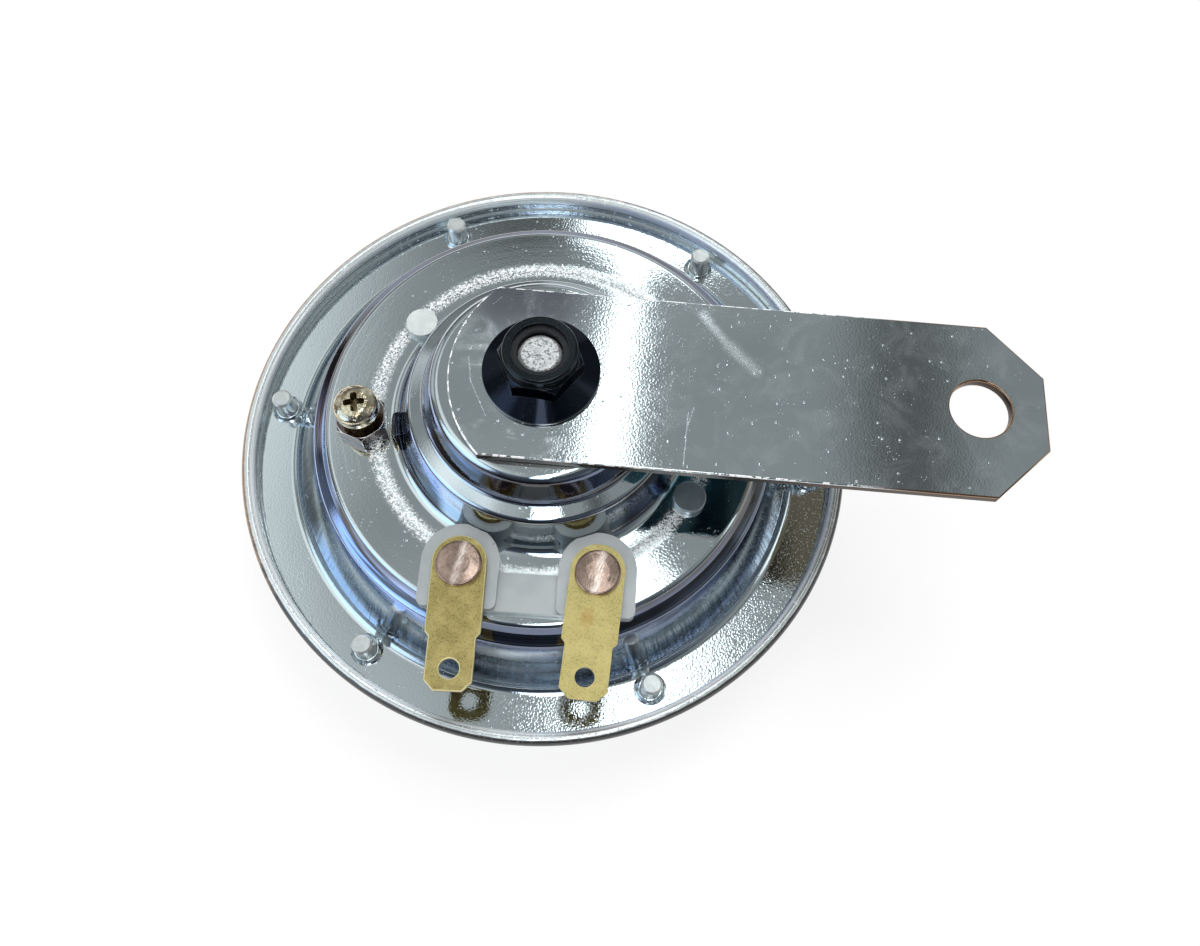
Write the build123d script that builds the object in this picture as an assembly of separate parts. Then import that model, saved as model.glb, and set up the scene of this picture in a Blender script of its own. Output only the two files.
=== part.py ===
from build123d import *
from math import atan2, cos, degrees, hypot, radians, sin, sqrt
import os

# Disc horn, lying on its front face. Lengths in millimetres, angles in degrees.
# Z is the axis of the disc and points out of the back, X runs along the mounting bracket.

# Fits
slip = 0.05  # radial room between a fastener and its hole
air = 0.3  # room round a piece that moves

# Front cover, a pressed sheet with a rolled bead
cover_sheet = 0.8
cover_depth = 7.0  # front face to the outside of the clamp ring
bead_outer = 46.0
bead_radius = 0.95
bead_rise = 2.95  # bead above the back of the shell's flange
dish_run = 4.1  # width of the slope from the front face to the clamp ring
face_width = 5.5  # flat ring of the front face
band_inner = 11.5
band_slope = 1.5  # width of the slopes at both edges of the slotted band
band_recess = 1.0  # the slotted band lies this far behind the front face
slot_count = 18
slot_width = 2.2
slot_margin = 1.5  # slot ends to the edges of the band

# Diaphragm and the gaskets that clamp it
gasket_sheet = 0.5
gasket_lip = 1.3  # how far the gaskets reach in past the foot of the shell's wall
diaphragm_sheet = 0.35

# Rim screws, put in from the front
screw_count = 6
screw_edge = 2.94  # screw axis to the edge of the flange
screw_start = -3.0  # angle of the first screw
screw_radius = 1.5
screw_tip_rise = 4.05  # screw end above the back of the flange
screw_head_radius = 2.8
screw_head_height = 2.0
screw_collar_radius = 1.95  # drawn collar round each screw on the flange
screw_collar_rise = 0.6

# Back shell, its steps from the rim inwards to the boss
shell_sheet = 0.9
flange_width = 5.7
wall_run = 4.4
ridge_width = 1.4
step_run = 0.9
shoulder_width = 6.9
crease_width = 0.6
inset_width = 3.6  # crease in the shoulder to the foot of the boss
foot_wall_run = 2.0
ledge_width = 2.3
boss_wall_run = 1.5
wall_height = 8.6
ridge_height = 0.9
step_height = 1.45
inset_rise = 0.15  # the shoulder inside the crease stands this much higher
foot_wall_height = 6.0
ledge_height = 0.8
boss_wall_height = 4.65

# Centre stud and pole core in one turning
stud_radius = 2.95
stud_end = 6.65  # stud above the top of the boss
core_radius = 5.0
core_lift = 3.8  # pole face above the foot of the coil
pole_gap = 0.6  # air gap between the core and the armature at rest

# Bracket
bracket_sheet = 1.5
bracket_width = 25.3
bracket_hole_reach = 58.74
bracket_hole_radius = 4.15
bracket_end = 8.86  # hole to the far end
bracket_tail = 12.5  # stud to the near end
bracket_tail_radius = 17.6
bracket_corner = 7.3
bracket_edge = 0.25

# Flange nut with a locking ring
nut_across_flats = 10.0
nut_flange_radius = 7.88
nut_flange_edge = 0.7
nut_cone_height = 2.1
nut_hex_height = 4.7
nut_height = 6.35
nut_collar_radius = 4.95
nut_collar_wall = 0.7
nut_lip = 0.5  # how far the crimped mouth covers the locking ring
nut_turn = -5.0
lock_ring_height = 1.5
lock_ring_depth = 0.55  # mouth of the nut to the ring

# Coil on its bobbin
bobbin_wall = 0.8
bobbin_flange_sheet = 1.0
bobbin_margin = 2.2  # bobbin flange to the inside of the boss
winding_margin = 0.6  # winding to the edge of the bobbin's flange

# Pole plate across the shell, riveted at both ends
plate_sheet = 2.0
plate_width = 11.0
plate_middle_radius = 13.2
rivet_angles = (146.85, 332.28)
rivet_stand_offs = (2.51, 3.61)  # from the foot of the boss
rivet_radius = 1.6
rivet_head_radius = 2.35
rivet_head_height = 1.1

# Armature, diaphragm washer, tone disc and its nut
armature_radius = 5.0
armature_flange_width = 3.0
armature_flange_height = 1.0
armature_stud_radius = 2.5
collar_width = 2.6
collar_height = 1.0
washer_width = 5.5
washer_sheet = 1.0
tone_sheet = 1.0
tone_margin = 1.0  # tone disc to the edge of the slotted band
tone_hub_width = 5.0
tone_dish = 2.3
tone_dish_run = 4.5
tone_nut_across_flats = 8.0
tone_nut_height = 3.0
tone_thread_end = 1.0  # stud end past the nut

# Contact set on the longer rivet
fibre_sheet = 0.5
contact_pad_radius = 3.6
spring_sheet = 0.3
spring_play = 0.1
spring_width = 5.0
finger_room = 0.9  # finger end to the armature's side
finger_play = 0.05
contact_radius = 1.5
contact_height = 0.35
contact_reach = 7.0  # rivet to contact
fixed_arm_sheet = 0.8
fixed_arm_width = 6.0
stack_head_radius = 2.6

# Adjusting screw with its lock nut
adjuster_angle = 188.38
adjuster_stand_off = 1.58  # from the crease
adjuster_radius = 2.0
adjuster_head_radius = 3.15
adjuster_head_height = 2.6
adjuster_head_top = 7.0  # above the shoulder
adjuster_recess_turn = 12.0
lock_nut_across_flats = 6.8
lock_nut_height = 2.2
lock_nut_turn = 41.0

# Insulator and blade terminals
terminal_turn = 1.1  # the pair sits turned by this much about Z
terminal_half_spacing = 9.3
terminal_stand_off = 3.45  # from the foot of the boss
pad_half_width = 5.3
pad_shift = 0.7  # round end of a pad, nearer the middle than its rivet
pad_foot = 5.65  # rivet to the straight end of the insulator
pad_height = 2.0
bridge_setback = 0.25
bridge_height = 1.2
pad_corner = 1.0
spigot_radius = 2.4
blade_sheet = 0.8
blade_toe_in = 2.3
blade_root_width = 7.4
blade_root_shift = 0.4
blade_step = 9.2  # rivet to the narrow blade
blade_step_length = 0.55
blade_width = 6.3
blade_end = 16.8
blade_corner = 1.3
blade_hole_radius = 1.3
blade_hole_reach = 13.9
terminal_rivet_radius = 1.5
terminal_rivet_head_radius = 3.1
terminal_rivet_head_height = 1.0
fibre_washer_radius = 3.2
inner_head_radius = 2.6
inner_head_height = 0.8

# Cross recess in a screw head
recess_width = 0.8
recess_share = 0.58  # reach of the cross as a share of the head's radius
recess_depth = 1.1

# Radii that follow
wall_inside = bead_outer - 2 * bead_radius
flange_outer = wall_inside - air
screw_circle = flange_outer - screw_edge
wall_foot = flange_outer - flange_width
ridge_radius = wall_foot - wall_run
step_radius = ridge_radius - ridge_width
shoulder_outer = step_radius - step_run
crease_radius = shoulder_outer - shoulder_width
boss_foot = crease_radius - inset_width
ledge_outer = boss_foot - foot_wall_run
ledge_inner = ledge_outer - ledge_width
boss_radius = ledge_inner - boss_wall_run
gasket_inner = wall_foot - gasket_lip
face_outer = gasket_inner - dish_run
band_outer = face_outer - face_width
tone_radius = band_outer - tone_margin
bobbin_bore = core_radius + air
bobbin_flange_radius = boss_radius - shell_sheet - bobbin_margin
winding_radius = bobbin_flange_radius - winding_margin
collar_radius = armature_radius + collar_width
lock_ring_radius = nut_collar_radius - nut_collar_wall
terminal_reach = boss_foot + terminal_stand_off
pad_end = terminal_reach + pad_foot

# Heights that follow
ring_top = cover_depth + cover_sheet
diaphragm_low = ring_top + gasket_sheet
diaphragm_top = diaphragm_low + diaphragm_sheet
flange_low = diaphragm_top + gasket_sheet
flange_top = flange_low + shell_sheet
ridge_top = flange_top + wall_height
step_top = ridge_top + ridge_height
shoulder_top = step_top + step_height
shoulder_low = shoulder_top - shell_sheet
seat_top = shoulder_top + inset_rise
ledge_low = seat_top + foot_wall_height
ledge_top = ledge_low + ledge_height
boss_top = ledge_top + boss_wall_height
boss_low = boss_top - shell_sheet
bracket_top = boss_top + bracket_sheet
nut_top = bracket_top + nut_height
lock_ring_top = nut_top - lock_ring_depth
bead_height = flange_top + bead_rise - bead_radius
screw_tip = flange_top + screw_tip_rise
plate_low = shoulder_low - plate_sheet
core_low = shoulder_low + core_lift
armature_top = core_low - pole_gap
spring_top = plate_low - fibre_sheet - spring_play
spring_low = spring_top - spring_sheet
fixed_arm_top = spring_low - 2 * contact_height
fixed_arm_low = fixed_arm_top - fixed_arm_sheet
stack_low = fixed_arm_low - fibre_sheet
collar_top = spring_low - finger_play
pad_top = seat_top + pad_height
blade_top = pad_top + blade_sheet
washer_low = diaphragm_low - washer_sheet
tone_hub_low = washer_low - tone_sheet
tone_top = washer_low - tone_dish
tone_nut_low = tone_hub_low - tone_nut_height

# Places that follow


def polar(radius, angle):
    return (radius * cos(radians(angle)), radius * sin(radians(angle)))


rivet_points = [polar(boss_foot + gap, angle) for gap, angle in zip(rivet_stand_offs, rivet_angles)]
adjuster_place = polar(crease_radius + adjuster_stand_off, adjuster_angle)
stack_place = rivet_points[0]
stack_distance = hypot(*stack_place)


def disc(radius, low, high):
    return Pos(0, 0, low) * extrude(Circle(radius), high - low)


def tube(outer, inner, low, high):
    return Pos(0, 0, low) * extrude(Circle(outer) - Circle(inner), high - low)


def turned(*points):
    return revolve(make_face(Plane.XZ * Polyline(*points, close=True)), Axis.Z)


def strap(start, end, width, low, high):
    # A flat bar with round ends, from one point to another.
    run = (end[0] - start[0], end[1] - start[1])
    place = Pos((start[0] + end[0]) / 2, (start[1] + end[1]) / 2, low)
    turn = Rot(0, 0, degrees(atan2(run[1], run[0])))
    return place * turn * extrude(SlotCenterToCenter(hypot(*run), width), high - low)


def hexagon(across_flats, low, high, turn):
    outline = Rot(0, 0, turn) * RegularPolygon(across_flats / sqrt(3), 6)
    return Pos(0, 0, low) * extrude(outline, high - low)


def crowned_hexagon(across_flats, low, high, turn):
    # A hexagon with its top corners turned off.
    blank = disc(across_flats / sqrt(3), low, high)
    crown = chamfer(blank.edges().group_by(Axis.Z)[-1], across_flats * 0.06)
    return hexagon(across_flats, low, high, turn) & crown


def shifted(corners, distance):
    # The line of (radius, height) corners moved sideways, downwards where the distance is positive.
    moved = []
    last = len(corners) - 1
    for index, corner in enumerate(corners):
        normals = []
        for first in (max(index - 1, 0), min(index, last - 1)):
            run = Vector(*corners[first + 1]) - Vector(*corners[first])
            normals.append(Vector(run.Y, -run.X).normalized())
        across = normals[0] + normals[1]
        moved.append(Vector(*corner) + across * (distance / (1 + normals[0].dot(normals[1]))))
    return [(point.X, point.Y) for point in moved]


def bends(corners, radii, distance):
    # Bend radii for the moved line: an outer bend gets tighter, an inner one wider.
    moved = []
    for index, radius in enumerate(radii):
        first, middle, last = (Vector(*corner) for corner in corners[index:index + 3])
        turn = (middle - first).cross(last - middle).Z
        change = distance if turn > 0 else -distance
        moved.append(max(radius + change, 0.15))
    return moved


def pressed_sheet(corners, radii, thickness):
    # A sheet of even thickness turned about Z, its upper face along the corners.
    upper = FilletPolyline(*corners, radius=radii)
    lower = FilletPolyline(*shifted(corners, thickness), radius=bends(corners, radii, thickness))
    ends = [Line(upper @ 1, lower @ 1), Line(lower @ 0, upper @ 0)]
    outline = make_face(upper.edges() + lower.edges() + ends)
    return revolve(Plane.XZ * outline, Axis.Z)


def filled_below(corners, radii, distance, floor):
    # All that lies under the moved line, down to a floor.
    upper = FilletPolyline(*shifted(corners, distance), radius=bends(corners, radii, distance))
    start, end = upper @ 0, upper @ 1
    sides = Polyline((end.X, end.Y), (end.X, floor), (start.X, floor), (start.X, start.Y))
    return revolve(Plane.XZ * make_face(upper.edges() + sides.edges()), Axis.Z)


def screw_places(radius):
    return PolarLocations(radius, screw_count, start_angle=screw_start)


def screw_holes(low, high):
    return [place * disc(screw_radius + slip, low, high) for place in screw_places(screw_circle)]


def cross_recess(radius, height, up):
    # Two tapering slots; up is 1 for a head that faces up and -1 for one that faces down.
    slot = Rectangle(2 * recess_share * radius, recess_width)
    bars = slot + Rot(0, 0, 90) * slot
    return Pos(0, 0, height) * extrude(bars, -recess_depth * up, taper=18)


def place_terminals(shape_of_side):
    return [Rot(0, 0, terminal_turn) * shape_of_side(side) for side in (-1, 1)]


def rivet_spot(side):
    return Pos(side * terminal_half_spacing, -terminal_reach, 0)


shell_corners = (
    (stud_radius + slip, boss_top),
    (boss_radius, boss_top),
    (ledge_inner, ledge_top),
    (ledge_outer, ledge_low),
    (boss_foot, seat_top),
    (crease_radius - crease_width, seat_top),
    (crease_radius, shoulder_top),
    (shoulder_outer, shoulder_top),
    (step_radius, step_top),
    (ridge_radius, ridge_top),
    (wall_foot, flange_top),
    (flange_outer, flange_top),
)
shell_bends = (1.5, 0.8, 1.0, 1.6, 0.3, 0.3, 0.8, 0.4, 0.7, 1.6)


def back_shell():
    shell = pressed_sheet(shell_corners, shell_bends, shell_sheet)
    for place in screw_places(screw_circle):
        shell += place * disc(screw_collar_radius, flange_low, flange_top + screw_collar_rise)
    shell -= screw_holes(flange_low - air, flange_top + screw_collar_rise + air)
    for x, y in rivet_points:
        shell -= Pos(x, y) * disc(rivet_head_radius + slip, seat_top, seat_top + rivet_head_height)
        shell -= Pos(x, y) * disc(rivet_radius + slip, shoulder_low - air, seat_top + air)
    shell -= Pos(*adjuster_place) * disc(adjuster_radius + slip, shoulder_low - air, seat_top + air)
    spigot_hole = disc(spigot_radius + slip, shoulder_low - air, seat_top + air)
    return shell - place_terminals(lambda side: rivet_spot(side) * spigot_hole)


def front_cover():
    corners = (
        (0, cover_sheet),
        (band_inner - band_slope, cover_sheet),
        (band_inner, cover_sheet + band_recess),
        (band_outer, cover_sheet + band_recess),
        (band_outer + band_slope, cover_sheet),
        (face_outer, cover_sheet),
        (gasket_inner, ring_top),
        (wall_inside, ring_top),
        (wall_inside, bead_height),
    )
    cover = pressed_sheet(corners, (1.0, 1.0, 1.0, 1.0, 2.0, 1.5, 0.2), cover_sheet)
    bead = Pos(bead_outer - bead_radius, bead_height) * Circle(bead_radius)
    cover += revolve(Plane.XZ * bead, Axis.Z)
    slot = SlotOverall(band_outer - band_inner - 2 * slot_margin, slot_width)
    for place in PolarLocations((band_inner + band_outer) / 2, slot_count):
        cover -= place * extrude(slot, cover_depth)
    return cover - screw_holes(cover_depth - air, ring_top + air)


def rim_screw():
    shank = disc(screw_radius, cover_depth, screw_tip)
    shank = chamfer(shank.edges().group_by(Axis.Z)[-1], 0.3)
    head = disc(screw_head_radius, cover_depth - screw_head_height, cover_depth)
    head = fillet(head.edges().group_by(Axis.Z)[0], 0.9)
    return shank + head - cross_recess(screw_head_radius, cover_depth - screw_head_height, -1)


def gasket(low):
    high = low + gasket_sheet
    return tube(flange_outer, gasket_inner, low, high) - screw_holes(low - air, high + air)


def diaphragm():
    sheet = tube(flange_outer, armature_stud_radius + slip, diaphragm_low, diaphragm_top)
    return sheet - screw_holes(diaphragm_low - air, diaphragm_top + air)


def centre_stud():
    stud = disc(stud_radius, boss_low, boss_top + stud_end)
    stud = chamfer(stud.edges().group_by(Axis.Z)[-1], 0.5)
    return stud + disc(core_radius, core_low, boss_low)


def mounting_bracket():
    tail_centre = bracket_tail_radius - bracket_tail
    length = bracket_hole_reach + bracket_end - tail_centre
    bar = Rectangle(length, bracket_width, align=(Align.MIN, Align.CENTER))
    bar = chamfer(bar.vertices().group_by(Axis.X)[-1], bracket_corner)
    band = Rectangle(bracket_tail_radius, bracket_width, align=(Align.MAX, Align.CENTER))
    tail = Circle(bracket_tail_radius) & band
    outline = Pos(tail_centre, 0) * (bar + tail)
    blank = Pos(0, 0, boss_top) * extrude(outline, bracket_sheet)
    blank = fillet(blank.edges().group_by(Axis.Z)[-1], bracket_edge)
    blank -= disc(stud_radius + slip, boss_top, bracket_top)
    return blank - Pos(bracket_hole_reach, 0, 0) * disc(bracket_hole_radius, boss_top, bracket_top)


def flange_nut():
    hex_top = bracket_top + nut_hex_height
    cone_top = bracket_top + nut_cone_height
    flange = turned(
        (0, bracket_top),
        (nut_flange_radius, bracket_top),
        (nut_flange_radius, bracket_top + nut_flange_edge),
        (nut_across_flats / 2, cone_top),
        (0, cone_top),
    )
    collar = disc(nut_collar_radius, hex_top, nut_top)
    collar = fillet(collar.edges().group_by(Axis.Z)[-1], 0.45)
    nut = flange + crowned_hexagon(nut_across_flats, bracket_top, hex_top, nut_turn) + collar
    nut -= disc(lock_ring_radius - nut_lip, lock_ring_top, nut_top)
    nut -= disc(lock_ring_radius, lock_ring_top - lock_ring_height, lock_ring_top)
    return nut - disc(stud_radius + slip, bracket_top, nut_top)


def nut_locking_ring():
    low = lock_ring_top - lock_ring_height
    return tube(lock_ring_radius - slip, stud_radius + slip, low, lock_ring_top)


def coil_bobbin():
    barrel = tube(bobbin_bore + bobbin_wall, bobbin_bore, shoulder_low, boss_low)
    low = tube(bobbin_flange_radius, bobbin_bore, shoulder_low, shoulder_low + bobbin_flange_sheet)
    high = tube(bobbin_flange_radius, bobbin_bore, boss_low - bobbin_flange_sheet, boss_low)
    return barrel + low + high


def coil_winding():
    low = shoulder_low + bobbin_flange_sheet
    return tube(winding_radius, bobbin_bore + bobbin_wall + slip, low, boss_low - bobbin_flange_sheet)


def pole_plate():
    plate = strap(*rivet_points, plate_width, plate_low, shoulder_low)
    plate += disc(plate_middle_radius, plate_low, shoulder_low)
    for x, y in rivet_points:
        plate -= Pos(x, y) * disc(rivet_radius + slip, plate_low, shoulder_low)
    return plate - disc(armature_radius + 2 * air, plate_low, shoulder_low)


def frame_rivet(place, low, end_radius):
    rivet = disc(rivet_radius, low, seat_top)
    head = disc(rivet_head_radius, seat_top, seat_top + rivet_head_height)
    rivet += fillet(head.edges().group_by(Axis.Z)[-1], 0.2)
    rivet += disc(end_radius, low - inner_head_height, low)
    return Pos(*place) * rivet


def contact_insulators():
    # Three fibre plates: over the spring, under it and under the fixed arm.
    plates = []
    levels = ((spring_top + spring_play, plate_low), (fixed_arm_top, spring_low - spring_play),
              (stack_low, fixed_arm_low))
    for low, high in levels:
        plates.append(Pos(*stack_place) * tube(contact_pad_radius, rivet_radius + slip, low, high))
    return plates


def along_finger(distance):
    # The point so far from the rivet on the line to the middle of the horn.
    left = 1 - distance / stack_distance
    return (stack_place[0] * left, stack_place[1] * left)


def moving_contact_spring():
    tip = along_finger(stack_distance - armature_radius - finger_room - spring_width / 2)
    blade = strap(stack_place, tip, spring_width, spring_low, spring_top)
    return blade - Pos(*stack_place) * disc(rivet_radius + 3 * slip, spring_low, spring_top)


def contact_point(low):
    return Pos(*along_finger(contact_reach)) * disc(contact_radius, low, low + contact_height)


def fixed_contact_arm():
    arm = strap(stack_place, adjuster_place, fixed_arm_width, fixed_arm_low, fixed_arm_top)
    arm += strap(stack_place, along_finger(contact_reach), fixed_arm_width, fixed_arm_low, fixed_arm_top)
    return arm - Pos(*stack_place) * disc(rivet_radius + slip, fixed_arm_low, fixed_arm_top)


def armature():
    body = disc(armature_radius, diaphragm_top, armature_top)
    body = chamfer(body.edges().group_by(Axis.Z)[-1], 0.4)
    flange_radius = armature_radius + armature_flange_width
    body += disc(flange_radius, diaphragm_top, diaphragm_top + armature_flange_height)
    body += disc(collar_radius, collar_top - collar_height, collar_top)
    stud = disc(armature_stud_radius, tone_nut_low - tone_thread_end, diaphragm_top)
    return body + chamfer(stud.edges().group_by(Axis.Z)[0], 0.4)


def diaphragm_washer():
    outer = armature_stud_radius + washer_width
    return tube(outer, armature_stud_radius + slip, washer_low, diaphragm_low)


def tone_disc():
    hub_radius = armature_stud_radius + tone_hub_width
    corners = (
        (armature_stud_radius + slip, washer_low),
        (hub_radius, washer_low),
        (hub_radius + tone_dish_run, tone_top),
        (tone_radius, tone_top),
    )
    return pressed_sheet(corners, (1.5, 1.5), tone_sheet)


def tone_disc_nut():
    nut = hexagon(tone_nut_across_flats, tone_nut_low, tone_hub_low, 0)
    return nut - disc(armature_stud_radius + slip, tone_nut_low, tone_hub_low)


def adjusting_screw():
    top = shoulder_top + adjuster_head_top
    shank = disc(adjuster_radius, fixed_arm_top, top - adjuster_head_height)
    head = disc(adjuster_head_radius, top - adjuster_head_height, top)
    head = fillet(head.edges().group_by(Axis.Z)[-1], 0.8)
    screw = shank + head - Rot(0, 0, adjuster_recess_turn) * cross_recess(adjuster_head_radius, top, 1)
    return Pos(*adjuster_place) * screw


def adjuster_lock_nut():
    nut = crowned_hexagon(lock_nut_across_flats, seat_top, seat_top + lock_nut_height, lock_nut_turn)
    nut -= disc(adjuster_radius + slip, seat_top, seat_top + lock_nut_height)
    return Pos(*adjuster_place) * nut


def terminal_insulator():
    def pad(side):
        centre = -terminal_reach + pad_shift
        leg = Rectangle(2 * pad_half_width, pad_end + centre, align=(Align.CENTER, Align.MAX))
        outline = Circle(pad_half_width) + fillet(leg.vertices().group_by(Axis.Y)[0], pad_corner)
        return Pos(side * terminal_half_spacing, centre, seat_top) * extrude(outline, pad_height)

    strip = Rectangle(2 * terminal_half_spacing, pad_foot - bridge_setback,
                      align=(Align.CENTER, Align.MAX))
    bridge = Pos(0, -terminal_reach - bridge_setback, seat_top) * extrude(strip, bridge_height)
    body = sum(place_terminals(pad), Rot(0, 0, terminal_turn) * bridge)
    body -= filled_below(shell_corners, shell_bends, -2 * slip, flange_low)
    spigot = disc(spigot_radius, shoulder_low, pad_top)
    bore = disc(terminal_rivet_radius + slip, shoulder_low, pad_top)
    body += place_terminals(lambda side: rivet_spot(side) * spigot)
    return body - place_terminals(lambda side: rivet_spot(side) * bore)


def terminal(side):
    root = Pos(0, blade_root_shift) * Circle(blade_root_width / 2)
    half_root = blade_root_width / 2
    half_blade = blade_width / 2
    outline = [
        (half_root, blade_root_shift),
        (half_root, -blade_step),
        (half_blade, -blade_step - blade_step_length),
        (half_blade, -blade_end + blade_corner),
        (half_blade - blade_corner, -blade_end),
    ]
    outline += [(-x, y) for x, y in reversed(outline)]
    shape = root + make_face(Polyline(*outline, close=True))
    shape -= Circle(terminal_rivet_radius + slip)
    shape -= Pos(0, -blade_hole_reach) * Circle(blade_hole_radius)
    turn = Rot(0, 0, -side * blade_toe_in - terminal_turn)
    return rivet_spot(side) * Pos(0, 0, pad_top) * turn * extrude(shape, blade_sheet)


def terminal_rivet(side):
    head = disc(terminal_rivet_head_radius, blade_top, blade_top + terminal_rivet_head_height)
    rivet = fillet(head.edges().group_by(Axis.Z)[-1], 0.25)
    washer_low_height = shoulder_low - fibre_sheet
    rivet += disc(terminal_rivet_radius, washer_low_height, blade_top)
    rivet += disc(inner_head_radius, washer_low_height - inner_head_height, washer_low_height)
    return rivet_spot(side) * rivet


def fibre_washer(side):
    return rivet_spot(side) * tube(fibre_washer_radius, terminal_rivet_radius + slip,
                                   shoulder_low - fibre_sheet, shoulder_low)


def export(name, shapes):
    solids = Compound(children=[solid for shape in shapes for solid in shape.solids()])
    export_step(solids, f"parts/{name}.step")


os.makedirs("parts", exist_ok=True)
blades = place_terminals(terminal)
pieces = {
    "back_shell": [back_shell()],
    "front_cover": [front_cover()],
    "rim_screws": [place * Rot(0, 0, 20) * rim_screw() for place in screw_places(screw_circle)],
    "front_gasket": [gasket(ring_top)],
    "rear_gasket": [gasket(diaphragm_top)],
    "diaphragm": [diaphragm()],
    "centre_stud": [centre_stud()],
    "mounting_bracket": [mounting_bracket()],
    "flange_nut": [flange_nut()],
    "nut_locking_ring": [nut_locking_ring()],
    "coil_bobbin": [coil_bobbin()],
    "coil_winding": [coil_winding()],
    "pole_plate": [pole_plate()],
    "plate_rivet": [frame_rivet(rivet_points[1], plate_low, rivet_head_radius)],
    "contact_stack_rivet": [frame_rivet(stack_place, stack_low, stack_head_radius)],
    "contact_insulators": contact_insulators(),
    "moving_contact_spring": [moving_contact_spring()],
    "moving_contact_point": [contact_point(spring_low - contact_height)],
    "fixed_contact_arm": [fixed_contact_arm()],
    "fixed_contact_point": [contact_point(fixed_arm_top)],
    "armature": [armature()],
    "diaphragm_washer": [diaphragm_washer()],
    "tone_disc": [tone_disc()],
    "tone_disc_nut": [tone_disc_nut()],
    "adjusting_screw": [adjusting_screw()],
    "adjuster_lock_nut": [adjuster_lock_nut()],
    "terminal_insulator": [terminal_insulator()],
    "left_terminal": [blades[0]],
    "right_terminal": [blades[1]],
    "terminal_rivets": place_terminals(terminal_rivet),
    "terminal_fibre_washers": place_terminals(fibre_washer),
}
for name, shapes in pieces.items():
    export(name, shapes)
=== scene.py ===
import bpy
import bmesh
from math import atan2, pi, radians, sqrt, tan
from mathutils import Euler, Matrix, Vector


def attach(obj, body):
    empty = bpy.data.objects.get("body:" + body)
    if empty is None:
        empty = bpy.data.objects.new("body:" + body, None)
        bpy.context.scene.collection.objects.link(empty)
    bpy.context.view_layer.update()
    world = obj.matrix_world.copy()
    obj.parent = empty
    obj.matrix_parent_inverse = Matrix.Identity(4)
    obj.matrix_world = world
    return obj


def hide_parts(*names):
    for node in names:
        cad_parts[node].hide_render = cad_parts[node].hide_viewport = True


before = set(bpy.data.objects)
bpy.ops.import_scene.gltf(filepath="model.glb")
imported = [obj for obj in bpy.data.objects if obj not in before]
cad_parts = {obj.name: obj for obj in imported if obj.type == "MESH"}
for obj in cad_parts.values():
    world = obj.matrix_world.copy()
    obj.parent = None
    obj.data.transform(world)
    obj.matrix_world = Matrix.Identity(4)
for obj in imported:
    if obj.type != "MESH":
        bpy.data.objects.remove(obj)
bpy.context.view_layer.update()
mm = 0.001
print("frame loaded:", len(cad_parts), "parts")


# Shader maths: a Field is a socket that takes part in plain sums.
class Field:
    def __init__(self, finish, socket):
        self.finish = finish
        self.socket = socket

    def maths(self, operation, first, second):
        return self.finish.add("ShaderNodeMath", {"operation": operation}, {0: first, 1: second})

    def __add__(self, other):
        return self.maths("ADD", self, other)

    def __radd__(self, other):
        return self.maths("ADD", other, self)

    def __sub__(self, other):
        return self.maths("SUBTRACT", self, other)

    def __rsub__(self, other):
        return self.maths("SUBTRACT", other, self)

    def __mul__(self, other):
        return self.maths("MULTIPLY", self, other)

    def __rmul__(self, other):
        return self.maths("MULTIPLY", other, self)

    def __truediv__(self, other):
        return self.maths("DIVIDE", self, other)

    def __abs__(self):
        return self.maths("ABSOLUTE", self, 0.0)

    def under(self, other):
        return self.maths("MINIMUM", self, other)

    def over(self, other):
        return self.maths("MAXIMUM", self, other)

    def power(self, other):
        return self.maths("POWER", self, other)

    # 0 below low, 1 above high, smooth between; the other way round where low is the larger
    def step(self, low, high):
        settings = {"interpolation_type": "SMOOTHSTEP"}
        return self.finish.add("ShaderNodeMapRange", settings, {0: self, 1: low, 2: high})

    # 1 at the middle, falling smoothly to 0 at the given distance
    def near(self, middle, reach):
        return abs(self - middle).step(reach, 0.0)


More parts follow.
